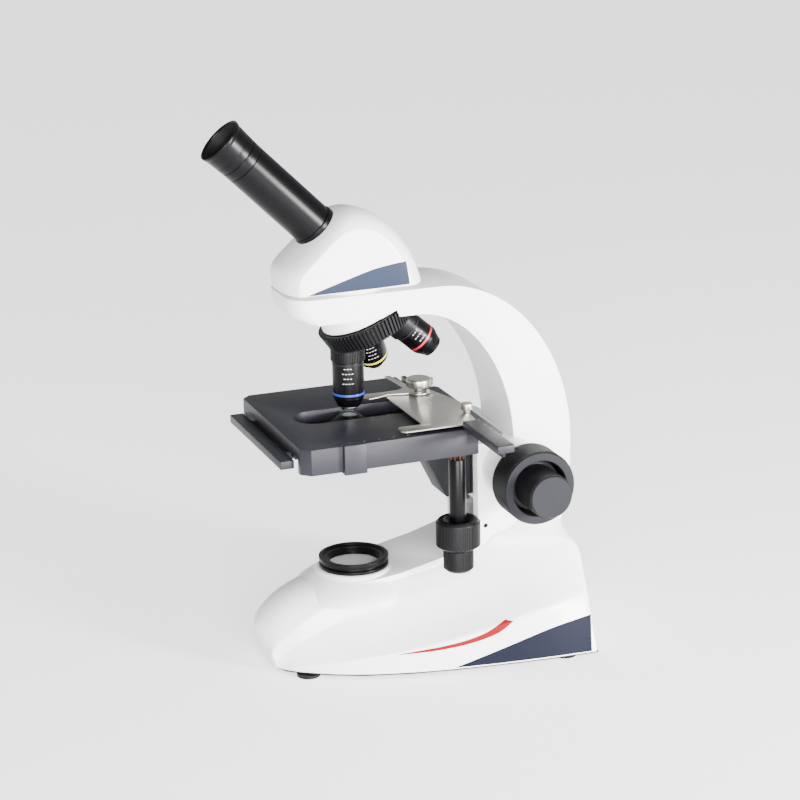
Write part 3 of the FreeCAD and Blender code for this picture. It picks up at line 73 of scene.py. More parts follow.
def lathe(profile, place=Matrix.Identity(4), around=96):
    """Turn (radius, height) corners, in millimetres, about Z. A profile that starts off the axis is closed."""
    mesh = bmesh.new()
    rings = []
    for radius, height in profile:
        if radius < 1e-6:
            rings.append([mesh.verts.new((0, 0, height * MM))] * around)
        else:
            rings.append([mesh.verts.new((radius * MM * math.cos(2 * math.pi * i / around),
                                          radius * MM * math.sin(2 * math.pi * i / around), height * MM))
                          for i in range(around)])
    pairs = list(zip(rings, rings[1:]))
    if profile[0][0] > 1e-6:
        pairs.append((rings[-1], rings[0]))
    for low, high in pairs:
        for i in range(around):
            j = (i + 1) % around
            corners = []
            for vert in (low[i], low[j], high[j], high[i]):
                if vert not in corners:
                    corners.append(vert)
            if len(corners) > 2:
                mesh.faces.new(corners)
    bmesh.ops.recalc_face_normals(mesh, faces=mesh.faces)
    mesh.transform(place)
    return as_data(mesh, "turned")


def as_data(mesh, name):
    data = bpy.data.meshes.new(name)
    mesh.to_mesh(data)
    mesh.free()
    return data


def solid_ring(inner, outer, low, high, soft=0.4):
    """A closed ring profile with softened corners."""
    soft = min(soft, (outer - inner) / 3, (high - low) / 3)
    return [(inner, low + soft), (inner + soft, low), (outer - soft, low), (outer, low + soft),
            (outer, high - soft), (outer - soft, high), (inner + soft, high), (inner, high - soft)]


print("turned helpers ready")


# %% Modifiers applied to loose meshes
def settled(data, *modifiers):
    """Apply modifiers, given as (type, settings), to a mesh and return the result."""
    holder = bpy.data.objects.new("holder", data)
    bpy.context.scene.collection.objects.link(holder)
    for kind, settings in modifiers:
        modifier = holder.modifiers.new(kind, kind)
        for key, value in settings.items():
            setattr(modifier, key, value)
    shown = holder.evaluated_get(bpy.context.evaluated_depsgraph_get())
    result = bpy.data.meshes.new_from_object(shown)
    bpy.data.objects.remove(holder)
    return result


def carved(data, tools, operation="DIFFERENCE"):
    """Cut meshes from a mesh, or join them to it."""
    for tool in tools:
        other = bpy.data.objects.new("tool", tool)
        bpy.context.scene.collection.objects.link(other)
        data = settled(data, ("BOOLEAN", {"operation": operation, "object": other, "solver": "EXACT"}))
        bpy.data.objects.remove(other)
    return data


def eased(data, width, segments=2, angle=32):
    """Round the edges that are sharper than an angle."""
    return settled(data, ("BEVEL", {"width": width * MM, "segments": segments, "limit_method": "ANGLE",
                                    "angle_limit": math.radians(angle), "use_clamp_overlap": True}))


def block(x, y, z):
    """A closed block between two values on each axis, in millimetres."""
    mesh = bmesh.new()
    bmesh.ops.create_cube(mesh, size=1)
    for vert in mesh.verts:
        vert.co = Vector([((low + high) / 2 + side * (high - low)) * MM
                          for side, (low, high) in zip(vert.co, (x, y, z))])
    return as_data(mesh, "block")


def prism(outline, low, high, axis="x"):
    """An outline pulled out along x (outline in y, z) or z (outline in x, y)."""
    mesh = bmesh.new()
    turn = {"x": lambda a, b, c: (c, a, b), "z": lambda a, b, c: (a, b, c)}[axis]
    rows = [[mesh.verts.new(Vector(turn(a, b, level)) * MM) for a, b in outline] for level in (low, high)]
    mesh.faces.new(rows[0])
    mesh.faces.new(rows[1])
    for i in range(len(outline)):
        j = (i + 1) % len(outline)
        mesh.faces.new((rows[0][i], rows[0][j], rows[1][j], rows[1][i]))
    bmesh.ops.recalc_face_normals(mesh, faces=mesh.faces)
    return as_data(mesh, "prism")


print("modifier helpers ready")


# %% Pieces
def assemble(name, parts, body, replaced=(), sharp=38):
    """Join (mesh, material) pairs into one piece that rides on a body and stands for frame nodes."""
    mesh, finishes = bmesh.new(), []
    for data, finish in parts:
        if finish not in finishes:
            finishes.append(finish)
        start = len(mesh.faces)
        mesh.from_mesh(data)
        mesh.faces.ensure_lookup_table()
        for face in mesh.faces[start:]:
            face.material_index = finishes.index(finish)
            face.smooth = True
    data = as_data(mesh, name)
    for finish in finishes:
        data.materials.append(finish)
    data.set_sharp_from_angle(angle=math.radians(sharp))
    piece = bpy.data.objects.new(name, data)
    bpy.context.scene.collection.objects.link(piece)
    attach(piece, body)
    if replaced:
        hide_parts(*replaced)
    print(name, len(data.polygons), "faces")
    return piece


def node_copy(node):
    """A frame node's mesh with its loose triangles merged into plain faces."""
    mesh = bmesh.new()
    mesh.from_mesh(frame["nodes"][node].data)
    bmesh.ops.remove_doubles(mesh, verts=mesh.verts, dist=2e-6)
    bmesh.ops.dissolve_limit(mesh, angle_limit=math.radians(0.6), verts=mesh.verts, edges=mesh.edges)
    data = as_data(mesh, node)
    data.materials.clear()
    return data


NODE_BODY = {node: body for body, nodes in frame["record"]["behaviour"]["bodies"].items() for node in nodes}


def refined(node, finish, width=0.35, more=()):
    """A finer piece for a frame node, with softened edges and, if asked, extra parts."""
    data = eased(node_copy(node), width)
    return assemble(node + "_fine", [(data, finish)] + list(more), NODE_BODY[node], [node])


print("piece helpers ready")


# %% [markdown]
# ## Finishes
# One builder makes most finishes: a colour that drifts a little, a roughness that varies, and a fine bump at
# the real grain of the surface. Enamel is smooth with a faint orange peel, anodised aluminium is matt with a
# tight grain, and brushed nickel has its grain stretched along one direction.

# %% Finish builder
BROAD_GRAIN = 22
BUMP_DEPTH = 0.0002
ROUGH_SPREAD = 0.06
COAT_ROUGHNESS = 0.15


def finish(name, colour, rough, metal=0.0, coat=0.0, grain=900.0, bump=0.03, drift=0.06, stretch=(1, 1, 1),
           specular=0.5):
    """A procedural material: drifting colour, varying roughness and a fine bump."""
    material = bpy.data.materials.new(name)
    material.use_nodes = True
    tree = material.node_tree
    shader = tree.nodes["Principled BSDF"]
    place = tree.nodes.new("ShaderNodeTexCoord")
    mapping = tree.nodes.new("ShaderNodeMapping")
    mapping.inputs["Scale"].default_value = stretch
    tree.links.new(place.outputs["Object"], mapping.inputs["Vector"])
    fine = tree.nodes.new("ShaderNodeTexNoise")
    fine.inputs["Scale"].default_value = grain
    fine.inputs["Detail"].default_value = 3
    broad = tree.nodes.new("ShaderNodeTexNoise")
    broad.inputs["Scale"].default_value = BROAD_GRAIN
    tree.links.new(mapping.outputs["Vector"], fine.inputs["Vector"])
    tree.links.new(place.outputs["Object"], broad.inputs["Vector"])
    tint = tree.nodes.new("ShaderNodeMix")
    tint.data_type = "RGBA"
    amount, low, high = tint.inputs[0], tint.inputs[6], tint.inputs[7]
    low.default_value = [c * (1 - drift) for c in colour] + [1]
    high.default_value = [min(1, c * (1 + drift)) for c in colour] + [1]
    tree.links.new(broad.outputs["Fac"], amount)
    tree.links.new(tint.outputs[2], shader.inputs["Base Color"])
    spread = tree.nodes.new("ShaderNodeMapRange")
    spread.inputs["To Min"].default_value = max(0.02, rough - ROUGH_SPREAD)
    spread.inputs["To Max"].default_value = min(1.0, rough + ROUGH_SPREAD)
    tree.links.new(fine.outputs["Fac"], spread.inputs["Value"])
    tree.links.new(spread.outputs["Result"], shader.inputs["Roughness"])
    relief = tree.nodes.new("ShaderNodeBump")
    relief.inputs["Strength"].default_value = bump
    relief.inputs["Distance"].default_value = BUMP_DEPTH
    tree.links.new(fine.outputs["Fac"], relief.inputs["Height"])
    tree.links.new(relief.outputs["Normal"], shader.inputs["Normal"])
    shader.inputs["Metallic"].default_value = metal
    shader.inputs["Coat Weight"].default_value = coat
    shader.inputs["Coat Roughness"].default_value = COAT_ROUGHNESS
    shader.inputs["Specular IOR Level"].default_value = specular
    return material


def glass(name, colour, alpha):
    """A smooth, partly clear finish with a full coat."""
    material = finish(name, colour, 0.08, grain=60, bump=0.0, drift=0.02)
    shader = material.node_tree.nodes["Principled BSDF"]
    shader.inputs["Alpha"].default_value = alpha
    shader.inputs["Coat Weight"].default_value = 1.0
    return material


ENAMEL = finish("white_enamel", (0.80, 0.81, 0.79), 0.42, coat=0.25, grain=1400, bump=0.05, drift=0.012)
TRIM = finish("blue_grey_trim", (0.0150, 0.0215, 0.0420), 0.5, grain=2600, bump=0.12, drift=0.1, specular=0.12)
# The base trims get a second copy of the trim's blue-grey, darkened with painted shade.
TRIM_WITH_PAINTED_SHADE = finish("dark_blue_grey_trim", (0.0040, 0.0050, 0.0125), 0.55, grain=2600, bump=0.12, drift=0.1,
                   specular=0.08)
RED = finish("red_stripe", (0.17, 0.0006, 0.0025), 0.45, grain=1500, bump=0.03, specular=0.1)
STAGE = finish("anodised_grey", (0.0095, 0.0090, 0.0135), 0.46, grain=4200, bump=0.3, drift=0.1, specular=0.32)
CRINKLE = finish("crinkle_black", (0.010, 0.010, 0.012), 0.55, grain=1700, bump=0.9, drift=0.15, specular=0.2)
LACQUER = finish("black_lacquer", (0.0012, 0.0010, 0.0015), 0.3, grain=2600, bump=0.04, specular=0.13)
SATIN = finish("satin_black", (0.0030, 0.0029, 0.0035), 0.45, grain=3000, bump=0.2, specular=0.2)
KNOB = finish("knob_grey", (0.0085, 0.0085, 0.0100), 0.5, grain=2600, bump=0.25, drift=0.1, specular=0.25)
FACE = finish("knob_face", (0.0085, 0.0085, 0.0115), 0.55, grain=2600, bump=0.25, drift=0.1, specular=0.18)
NICKEL = finish("brushed_nickel", (0.50, 0.48, 0.44), 0.32, metal=1.0, grain=1500, bump=0.12,
                stretch=(0.08, 1.0, 1.0))
STEEL = finish("plain_steel", (0.40, 0.40, 0.42), 0.32, metal=1.0, grain=1800, bump=0.08)
CHROME = finish("polished_chrome", (0.88, 0.88, 0.90), 0.2, metal=1.0, grain=400, bump=0.01)
BRASS = finish("aged_brass", (0.055, 0.033, 0.025), 0.42, metal=1.0, grain=1600, bump=0.1, drift=0.2)
RUBBER = finish("rubber", (0.0030, 0.0030, 0.0035), 0.6, grain=2200, bump=0.4, specular=0.2)
CIRCUIT = finish("circuit_board", (0.02, 0.12, 0.05), 0.5, grain=700, bump=0.2, drift=0.3)
LAMP_WHITE = finish("lamp_white", (0.85, 0.84, 0.78), 0.5, grain=900, bump=0.05)
MARK = finish("white_mark", (0.45, 0.46, 0.48), 0.6, grain=900, bump=0.02)
LENS = glass("lens_glass", (0.35, 0.40, 0.45), 0.4)
BLUE_BAND = finish("blue_band", (0.006, 0.03, 0.30), 0.35, grain=900, bump=0.02)
YELLOW_BAND = finish("yellow_band", (0.55, 0.48, 0.01), 0.35, grain=900, bump=0.02)
RED_BAND = finish("red_band", (0.36, 0.006, 0.02), 0.35, grain=900, bump=0.02)
print("finishes", len(bpy.data.materials))


# %% [markdown]
# ## Ribs, marks and dots
# Grips on this instrument are rings of small ribs, and the scales are rows of equal dots, so Geometry Nodes
# make both. One tree sets ribs round an axis, with their count, size, slant and place as inputs. Another sets
# dots along a line.

# %% Geometry Nodes trees
def new_tree(name, inputs):
    tree = bpy.data.node_groups.new(name, "GeometryNodeTree")
    for label, kind, value in inputs:
        socket = tree.interface.new_socket(name=label, in_out="INPUT", socket_type="NodeSocket" + kind)
        if value is not None:
            socket.default_value = value
    tree.interface.new_socket(name="Geometry", in_out="OUTPUT", socket_type="NodeSocketGeometry")
    return tree


def wired(tree, kind, settings=None, **links):
    """Add a node; a link is (node, output name) or a plain value."""
    made = tree.nodes.new(kind)
    for key, value in (settings or {}).items():
        setattr(made, key, value)
    for label, source in links.items():
        socket = next(s for s in made.inputs if s.name.replace(" ", "_") == label and s.enabled)
        if isinstance(source, tuple) and len(source) == 2 and isinstance(source[0], bpy.types.Node):
            tree.links.new(source[0].outputs[source[1]], socket)
        else:
            socket.default_value = source
    return made


def finish_tree(tree, given, instances):
    real = wired(tree, "GeometryNodeRealizeInstances", Geometry=(instances, "Instances"))
    painted = wired(tree, "GeometryNodeSetMaterial", Geometry=(real, "Geometry"), Material=(given, "Material"))
    out = tree.nodes.new("NodeGroupOutput")
    tree.links.new(painted.outputs["Geometry"], out.inputs["Geometry"])


def rib_ring_tree():
    tree = new_tree("rib_ring", [("Count", "Int", 60), ("Radius", "Float", 0.01), ("Width", "Float", 0.0005),
                                 ("Depth", "Float", 0.0005), ("Length", "Float", 0.01), ("Start", "Float", 0.0),
                                 ("Slant", "Float", 0.0), ("Lean", "Float", 0.0), ("Material", "Material", None)])
    given = tree.nodes.new("NodeGroupInput")
    span = wired(tree, "ShaderNodeCombineXYZ", X=(given, "Depth"), Y=(given, "Width"), Z=(given, "Length"))
    rib = wired(tree, "GeometryNodeMeshCube", Size=(span, "Vector"))
    half = wired(tree, "ShaderNodeMath", {"operation": "MULTIPLY"}, Value=(given, "Length"))
    half.inputs[1].default_value = 0.5
    middle = wired(tree, "ShaderNodeMath", {"operation": "ADD"}, Value=(half, "Value"))
    tree.links.new(given.outputs["Start"], middle.inputs[1])
    offset = wired(tree, "ShaderNodeCombineXYZ", X=(given, "Radius"), Z=(middle, "Value"))
    angles = wired(tree, "ShaderNodeCombineXYZ", X=(given, "Slant"), Y=(given, "Lean"))
    moved = wired(tree, "GeometryNodeTransform", Geometry=(rib, "Mesh"), Translation=(offset, "Vector"),
                  Rotation=(angles, "Vector"))
    points = wired(tree, "GeometryNodeMeshLine", Count=(given, "Count"), Offset=(0, 0, 0))
    index = tree.nodes.new("GeometryNodeInputIndex")
    share = wired(tree, "ShaderNodeMath", {"operation": "DIVIDE"}, Value=(index, "Index"))
    tree.links.new(given.outputs["Count"], share.inputs[1])
    full = wired(tree, "ShaderNodeMath", {"operation": "MULTIPLY"}, Value=(share, "Value"))
    full.inputs[1].default_value = 2 * math.pi
    turn = wired(tree, "ShaderNodeCombineXYZ", Z=(full, "Value"))
    spread = wired(tree, "GeometryNodeInstanceOnPoints", Points=(points, "Mesh"), Instance=(moved, "Geometry"),
                   Rotation=(turn, "Vector"))
    finish_tree(tree, given, spread)
    return tree


def dot_row_tree():
    tree = new_tree("dot_row", [("Count", "Int", 5), ("Start", "Vector", (0, 0, 0)), ("Step", "Vector", (0, 0, 0)),
                                ("Radius", "Float", 0.0005), ("Height", "Float", 0.0001),
                                ("Material", "Material", None)])
    given = tree.nodes.new("NodeGroupInput")
    points = wired(tree, "GeometryNodeMeshLine", Count=(given, "Count"), Start_Location=(given, "Start"),
                   Offset=(given, "Step"))
    dot = wired(tree, "GeometryNodeMeshCylinder", Vertices=14, Radius=(given, "Radius"), Depth=(given, "Height"))
    spread = wired(tree, "GeometryNodeInstanceOnPoints", Points=(points, "Mesh"), Instance=(dot, "Mesh"))
    finish_tree(tree, given, spread)
    return tree


RIB_RING, DOT_ROW = rib_ring_tree(), dot_row_tree()
DOT_HIGH = 0.08


def grown(tree, place=Matrix.Identity(4), **values):
    """Run a tree with named values and return its mesh, moved to a place."""
    data = bpy.data.meshes.new("seed")
    holder = bpy.data.objects.new("holder", data)
    bpy.context.scene.collection.objects.link(holder)
    modifier = holder.modifiers.new("grow", "NODES")
    modifier.node_group = tree
    for item in tree.interface.items_tree:
        if item.in_out == "INPUT" and item.name in values:
            modifier[item.identifier] = values[item.name]
    shown = holder.evaluated_get(bpy.context.evaluated_depsgraph_get())
    result = bpy.data.meshes.new_from_object(shown)
    bpy.data.objects.remove(holder)
    result.materials.clear()
    result.transform(place)
    return result


def ribs(place, count, radius, low, high, width, depth=0.5, slant=0.0, lean=0.0, paint=None):
    """A ring of ribs about an axis, given in millimetres; they stand out by half their depth."""
    return grown(RIB_RING, place, Count=count, Radius=radius * MM, Width=width * MM, Depth=depth * MM,
                 Length=(high - low) * MM, Start=low * MM, Slant=slant, Lean=lean, Material=paint or KNOB)


def dots(start, step, count, radius):
    """A row of flat dots, given in millimetres."""
    return grown(DOT_ROW, Count=count, Start=tuple(Vector(start) * MM), Step=tuple(Vector(step) * MM),
                 Radius=radius * MM, Height=DOT_HIGH * MM, Material=MARK)


print("trees", len(bpy.data.node_groups))


# %% [markdown]
# ## The stand
# The stand is one aluminium casting: a low shell for a foot, a column that flares into it, and a C-shaped arm.
# Its foot is a soft shape with three long creases on each side, so it is a cage: each row below is a slice,
# from the bottom edge over the lower ridge, the hollow side panel, the shoulder and the valley to the crown.
# Creased edges keep those lines through the subdivision.

# %% Foot and column flare
FLOOR_EDGE = 3.5
# Each slice: (x, y) of the bottom edge, then (x, y, z) of ridge, panel, shoulder, valley, crown side and crown
SLICES = (
    ((20.5, -65.0), (21.5, -65.6, 4.6), (22.0, -66.0, 6.0), (22.4, -66.2, 8.0), (21.0, -69.5, 15.0),
     (14.0, -72.6, 26.0), (0, -72.6, 31.5)),
    ((29.0, -59.0), (29.5, -58.6, 5.6), (28.0, -58.4, 9.5), (26.2, -58.2, 15.0), (24.6, -60.5, 24.5),
     (15.5, -63.5, 38.5), (0, -65.5, 41.0)),
    ((37.0, -50.0), (37.4, -50.0, 8.0), (34.0, -50.0, 14.2), (30.0, -50.0, 23.0), (28.0, -49.5, 34.0),
     (18.0, -51.0, 47.0), (0, -53.0, 50.5)),
    ((48.0, -32.0), (48.2, -32.0, 11.5), (41.0, -32.0, 20.0), (32.5, -31.0, 31.5), (29.0, -32.0, 44.5),
     (20.0, -33.0, 53.5), (0, -35.0, 56.5)),
    ((57.5, -12.0), (57.6, -12.0, 15.0), (47.0, -11.5, 24.0), (36.0, -10.0, 39.0), (29.0, -12.0, 52.0),
     (20.0, -12.0, 57.0), (0, -12.0, 58.5)),
    ((66.7, 19.0), (66.2, 19.0, 19.4), (51.5, 19.0, 29.0), (39.0, 19.0, 47.5), (29.0, 21.0, 56.2),
     (20.0, 21.0, 58.0), (0, 21.0, 59.0)),
    ((73.0, 52.0), (71.6, 52.0, 25.0), (55.0, 53.0, 35.0), (40.0, 54.0, 52.6), (29.0, 52.0, 62.0),
     (20.0, 52.0, 63.0), (0, 52.0, 64.0)),
    ((77.5, 88.0), (74.0, 88.0, 33.0), (56.5, 90.0, 43.0), (41.0, 91.0, 58.0), (29.3, 81.0, 68.5),
     (20.0, 84.0, 71.0), (0, 84.0, 72.0)),
    ((80.5, 118.0), (71.5, 120.0, 38.5), (55.5, 121.0, 51.0), (43.0, 120.0, 67.5), (29.4, 89.0, 76.0),
     (20.0, 98.0, 79.0), (0, 98.0, 79.0)),
    ((81.6, 147.6), (64.5, 148.2, 41.5), (54.5, 148.6, 58.0), (47.2, 148.2, 77.5), (29.4, 94.0, 83.0),
     (20.0, 104.0, 84.0), (0, 104.0, 84.0)),
)
# Above the foot the column narrows: (x, y, z) of the rear edge and of the crease beside the focus housing
FLARE = (((45.0, 149.0, 92.0), (29.4, 98.0, 95.0)), ((40.8, 149.4, 110.0), (29.4, 102.0, 112.0)),
         ((35.8, 149.6, 131.0), (29.2, 110.0, 132.0)), ((31.0, 149.2, 148.0), (28.9, 122.0, 150.0)),
         ((28.0, 147.6, 168.0), (27.9, 138.0, 168.0)))
CREASES = {"bottom": 1.0, "ridge": 0.62, "shoulder": 0.92, "valley": 0.85, "rear": 0.8, "front": 0.75}


def mirrored_row(mesh, points):
    """Vertices of a row on both sides; a point on the plane x = 0 is shared."""
    right = [mesh.verts.new(Vector(p) * MM) for p in points]
    left = [v if p[0] == 0 else mesh.verts.new(Vector((-p[0], p[1], p[2])) * MM) for v, p in zip(right, points)]
    return right, left


def foot_cage():
    """The foot's slices and the flare of the column as one creased, subdivided cage."""
    mesh = bmesh.new()
    rows = []
    for (edge_x, edge_y), *rest in SLICES:
        points = [(0, edge_y, FLOOR_EDGE), (edge_x, edge_y, FLOOR_EDGE)] + rest
        rows.append(mirrored_row(mesh, points))
    faces = []
    for (right, left), (right_next, left_next) in zip(rows, rows[1:]):
        for side, following in ((right, right_next), (left, left_next)):
            for i in range(7):
                faces.append((side[i], side[i + 1], following[i + 1], following[i]))
    for right, left in (rows[0], rows[-1]):
        faces.append((right[0], right[1], right[2], left[2], left[1]))
        last = 4 if right is rows[-1][0] else 6
        for i in range(2, last):
            faces.append((right[i], right[i + 1], left[i + 1], left[i]))
    right, left = rows[0]
    faces.append((right[6], right[7], left[6]))
    right, left = rows[-1]
    faces.append((right[5], right[6], right[7], left[6], left[5]))
    rear, crease = (right[4], left[4]), (right[5], left[5])
    for rear_point, crease_point in FLARE:
        (rear_right, crease_right), (rear_left, crease_left) = mirrored_row(mesh, (rear_point, crease_point))
        faces += [(crease[0], rear[0], rear_right, crease_right), (crease[1], rear[1], rear_left, crease_left),
                  (rear[0], rear[1], rear_left, rear_right), (crease[0], crease[1], crease_left, crease_right)]
        rear, crease = (rear_right, rear_left), (crease_right, crease_left)
    faces.append((rear[0], rear[1], crease[1], crease[0]))
    for corners in faces:
        mesh.faces.new(corners)
    layer = mesh.edges.layers.float.new("crease_edge")
    lines = {"bottom": 1, "ridge": 2, "shoulder": 4, "valley": 5}
    for side in (0, 1):
        for name, column in lines.items():
            for row, following in zip(rows, rows[1:]):
                edge = mesh.edges.get((row[side][column], following[side][column]))
                edge[layer] = CREASES[name]
        for name, row, low, high in (("front", rows[0], 1, 5), ("rear", rows[-1], 1, 4)):
            for i in range(low, high):
                mesh.edges.get((row[side][i], row[side][i + 1]))[layer] = CREASES[name]
    for row in (rows[0], rows[-1]):
        mesh.edges.get((row[0][0], row[0][1]))[layer] = 1.0
        mesh.edges.get((row[1][0], row[1][1]))[layer] = 1.0
    for edge in mesh.edges:
        if edge[layer] == 0 and len(edge.link_faces) == 2 and edge.calc_face_angle(0) > 1.0:
            edge[layer] = 0.7
    bmesh.ops.recalc_face_normals(mesh, faces=mesh.faces)
    return settled(as_data(mesh, "foot"), ("SUBSURF", {"levels": 4, "render_levels": 4}))


foot = foot_cage()
print("foot", len(foot.polygons), "faces")

# %% [markdown]
# The arm, the focus housing and the lamp deck have flat sides, so they are one outline pulled out sideways,
# with two ellipse quarters for the arm. The nose is rounded in plan. Real tools then cut the slide's way and
# the nosepiece's recess, and every edge is eased as a casting's is.

# %% Spine: deck, housing and arm
ARM_LOW, ARM_HIGH, HALF = 240.7, 258.0, 29.0
SCREW_Y = 86.5
HOUSING_HIGH, HOUSING_FRONT = 145.0, 81.0
NOSE_START, NOSE_TIP, NOSE_ROUND = -20, -46.6, 15.0
NOSE_REACH = 26.6
APEX = Vector((0, 0, 262.7)) * MM
TILT = math.radians(24.3)
NOSE_AXIS = Vector((0, math.sin(TILT), -math.cos(TILT)))
NOSE = Matrix.Translation(APEX) @ Matrix.Rotation(TILT, 4, "X")
FOCUS = Matrix.Translation(Vector((0, 105, 126)) * MM) @ Matrix.Rotation(math.pi / 2, 4, "Y")


def quarter(centre_y, centre_z, reach, rise, start, end, steps=26):
    """Points along an ellipse in the plane x = 0, between two angles in degrees."""
    angles = [math.radians(start + (end - start) * i / steps) for i in range(steps + 1)]
    return [(centre_y + reach * math.cos(a), centre_z + rise * math.sin(a)) for a in angles]


def spine():
    """The flat-sided body with its cuts, and the round boss of the focus axis."""
    outline = [(-8, 40), (-8, 57.4), (22, 60.5), (52, 67.0), (HOUSING_FRONT, 75.5), (HOUSING_FRONT, HOUSING_HIGH)]
    outline += quarter(40, 140.2, 68, 100.5, 3, 90)
    outline += [(-30, ARM_LOW), (-30, ARM_HIGH)]
    outline += quarter(56, 140, 94, 118, 90, 0)
    outline += [(149.6, 110), (142, 80), (136, 60), (136, 40)]
    body = prism(outline, -HALF, HALF)
    corner = [math.radians(9 * i) for i in range(11)]
    plan = [(HALF, NOSE_START)] + [(HALF - NOSE_ROUND + NOSE_ROUND * math.cos(a),
                                    NOSE_TIP + NOSE_ROUND - NOSE_ROUND * math.sin(a)) for a in corner]
    plan += [(-x, y) for x, y in reversed(plan)]
    nose = bmesh.new()
    levels = ((ARM_LOW, 10.0), (242.4, 6.6), (245.0, 3.4), (248.5, 1.2), (252.5, 0.0), (ARM_HIGH, 0.0))
    loops = []
    for height, inset in levels:
        loop = []
        for x, y in plan:
            share = min(1.0, max(0.0, (NOSE_START - y) / NOSE_REACH))
            narrow = x * (1 - inset * 0.12 * share / HALF)
            loop.append(nose.verts.new(Vector((narrow, y + inset * share, height)) * MM))
        loops.append(loop)
    for low, high in zip(loops, loops[1:]):
        for i in range(len(plan)):
            j = (i + 1) % len(plan)
            nose.faces.new((low[i], low[j], high[j], high[i]))
    nose.faces.new(loops[0])
    nose.faces.new(loops[-1])
    bmesh.ops.recalc_face_normals(nose, faces=nose.faces)
    boss = lathe([(0, -54.4), (20, -54.4), (21, -53.4), (21, 53.4), (20, 54.4), (0, 54.4)], FOCUS, 72)
    body = carved(body, [as_data(nose, "nose")], "UNION")
    way = block((-20.5, 20.5), (76, 101), (86, 160))
    recess = lathe([(0, -60), (33.1, -60), (33.1, -26.1), (0, -26.1)], NOSE, 96)
    body = carved(body, [way, recess])
    body = eased(body, 3.4, 4, 30)
    holes = [lathe([(0, -30), (1.7, -30), (1.7, -25.5), (0, -25.5)],
                   Matrix.Translation(Vector((0, SCREW_Y, height)) * MM) @ Matrix.Rotation(turn, 4, "Y"), 24)
             for height in (130, 86) for turn in (math.pi / 2, -math.pi / 2)]
    body = carved(body, holes)
    return [body, boss]


spine_parts = spine()
print("spine", [len(part.polygons) for part in spine_parts])


# %% Lamp boss and the white boss over the nosepiece
def nosepiece_boss():
    """A slanting disc that is cut off level inside the arm."""
    data = lathe(rounded([(0, -26.0), (28.9, -26.0), (28.4, -23), (27.6, -8), (0, -8)], 0.8), NOSE, 96)
    mesh = bmesh.new()
    mesh.from_mesh(data)
    everything = mesh.verts[:] + mesh.edges[:] + mesh.faces[:]
    cut = bmesh.ops.bisect_plane(mesh, geom=everything, plane_co=Vector((0, 0, 246)) * MM, plane_no=(0, 0, 1),
                                 clear_outer=True)
    rim = [item for item in cut["geom_cut"] if isinstance(item, bmesh.types.BMEdge)]
    bmesh.ops.edgeloop_fill(mesh, edges=rim)
    bmesh.ops.recalc_face_normals(mesh, faces=mesh.faces)
    return as_data(mesh, "boss")


lamp_boss = lathe(rounded([(0, 44), (44, 44), (40, 50.5), (33, 55.5), (27.5, 58.6), (25.6, 61.3), (0, 61.3)], 3))
assemble("stand_casting_shell", [(foot, ENAMEL), (lamp_boss, ENAMEL)] + [(part, ENAMEL) for part in spine_parts],
         "stand", ["stand_casting"], 34)
assemble("nosepiece_boss", [(nosepiece_boss(), ENAMEL)], "stand", ["nosepiece_mount"])

# %% [markdown]
# ## Painted stripe and base trims
# The stripe and the two trims lie on the foot's curved side. Each is a small grid whose points are dropped on
# the casting's surface along one slanting direction, and lifted a little. The base trims' blue-grey is darkened
# with painted shade. The base cover follows the foot's outline; its satin black edge below the foot is also
# painted shadow for the gap under the foot.

# %% Draped patches
shell = bmesh.new()
shell.from_mesh(foot)
foot_surface = BVHTree.FromBMesh(shell)
shell.free()
SIGHT = Vector((-0.899, 0.328, -0.289))
CAST_BACK = 0.08


def blended(points, share):
    """A point along a list of (y, z) corners, smooth between them."""
    along = share * (len(points) - 1)
    i = min(int(along), len(points) - 2)
    u = along - i
    before, start, end, after = (Vector(points[max(0, min(len(points) - 1, j))]) for j in (i - 1, i, i + 1, i + 2))
    return 0.5 * (2 * start + (end - before) * u + (2 * before - 5 * start + 4 * end - after) * u * u +
                  (3 * start - before - 3 * end + after) * u ** 3)


def draped(surface, lower, upper, plane_x, direction, lift, thick, columns=60, rows=6):
    """A patch between two lines of (y, z) corners given on a plane x, dropped on a surface."""
    mesh = bmesh.new()
    grid = []
    for i in range(columns + 1):
        low, high = blended(lower, i / columns), blended(upper, i / columns)
        column = []
        for j in range(rows + 1):
            y, z = low.lerp(high, j / rows)
            start = Vector((plane_x, y, z)) * MM - direction * CAST_BACK
            hit, normal, _, _ = surface.ray_cast(start, direction)
            if hit is None:
                hit, normal, _, _ = surface.find_nearest(start + direction * CAST_BACK)
            column.append(mesh.verts.new(hit + normal * lift * MM))
        grid.append(column)
    for near, far in zip(grid, grid[1:]):
        for j in range(rows):
            mesh.faces.new((near[j], far[j], far[j + 1], near[j + 1]))
    bmesh.ops.remove_doubles(mesh, verts=mesh.verts, dist=1e-6)
    bmesh.ops.recalc_face_normals(mesh, faces=mesh.faces)
    total = sum((face.normal for face in mesh.faces), Vector())
    if total.dot(direction) > 0:
        bmesh.ops.reverse_faces(mesh, faces=mesh.faces)
    return settled(as_data(mesh, "patch"), ("SOLIDIFY", {"thickness": thick * MM, "offset": -1.0}))


def other_side(data):
    """A copy mirrored in the plane x = 0, its faces turned outwards again."""
    mesh = bmesh.new()
    mesh.from_mesh(data)
    bmesh.ops.transform(mesh, matrix=Matrix.Scale(-1, 4, (1, 0, 0)), verts=mesh.verts)
    bmesh.ops.reverse_faces(mesh, faces=mesh.faces)
    return as_data(mesh, "mirrored")


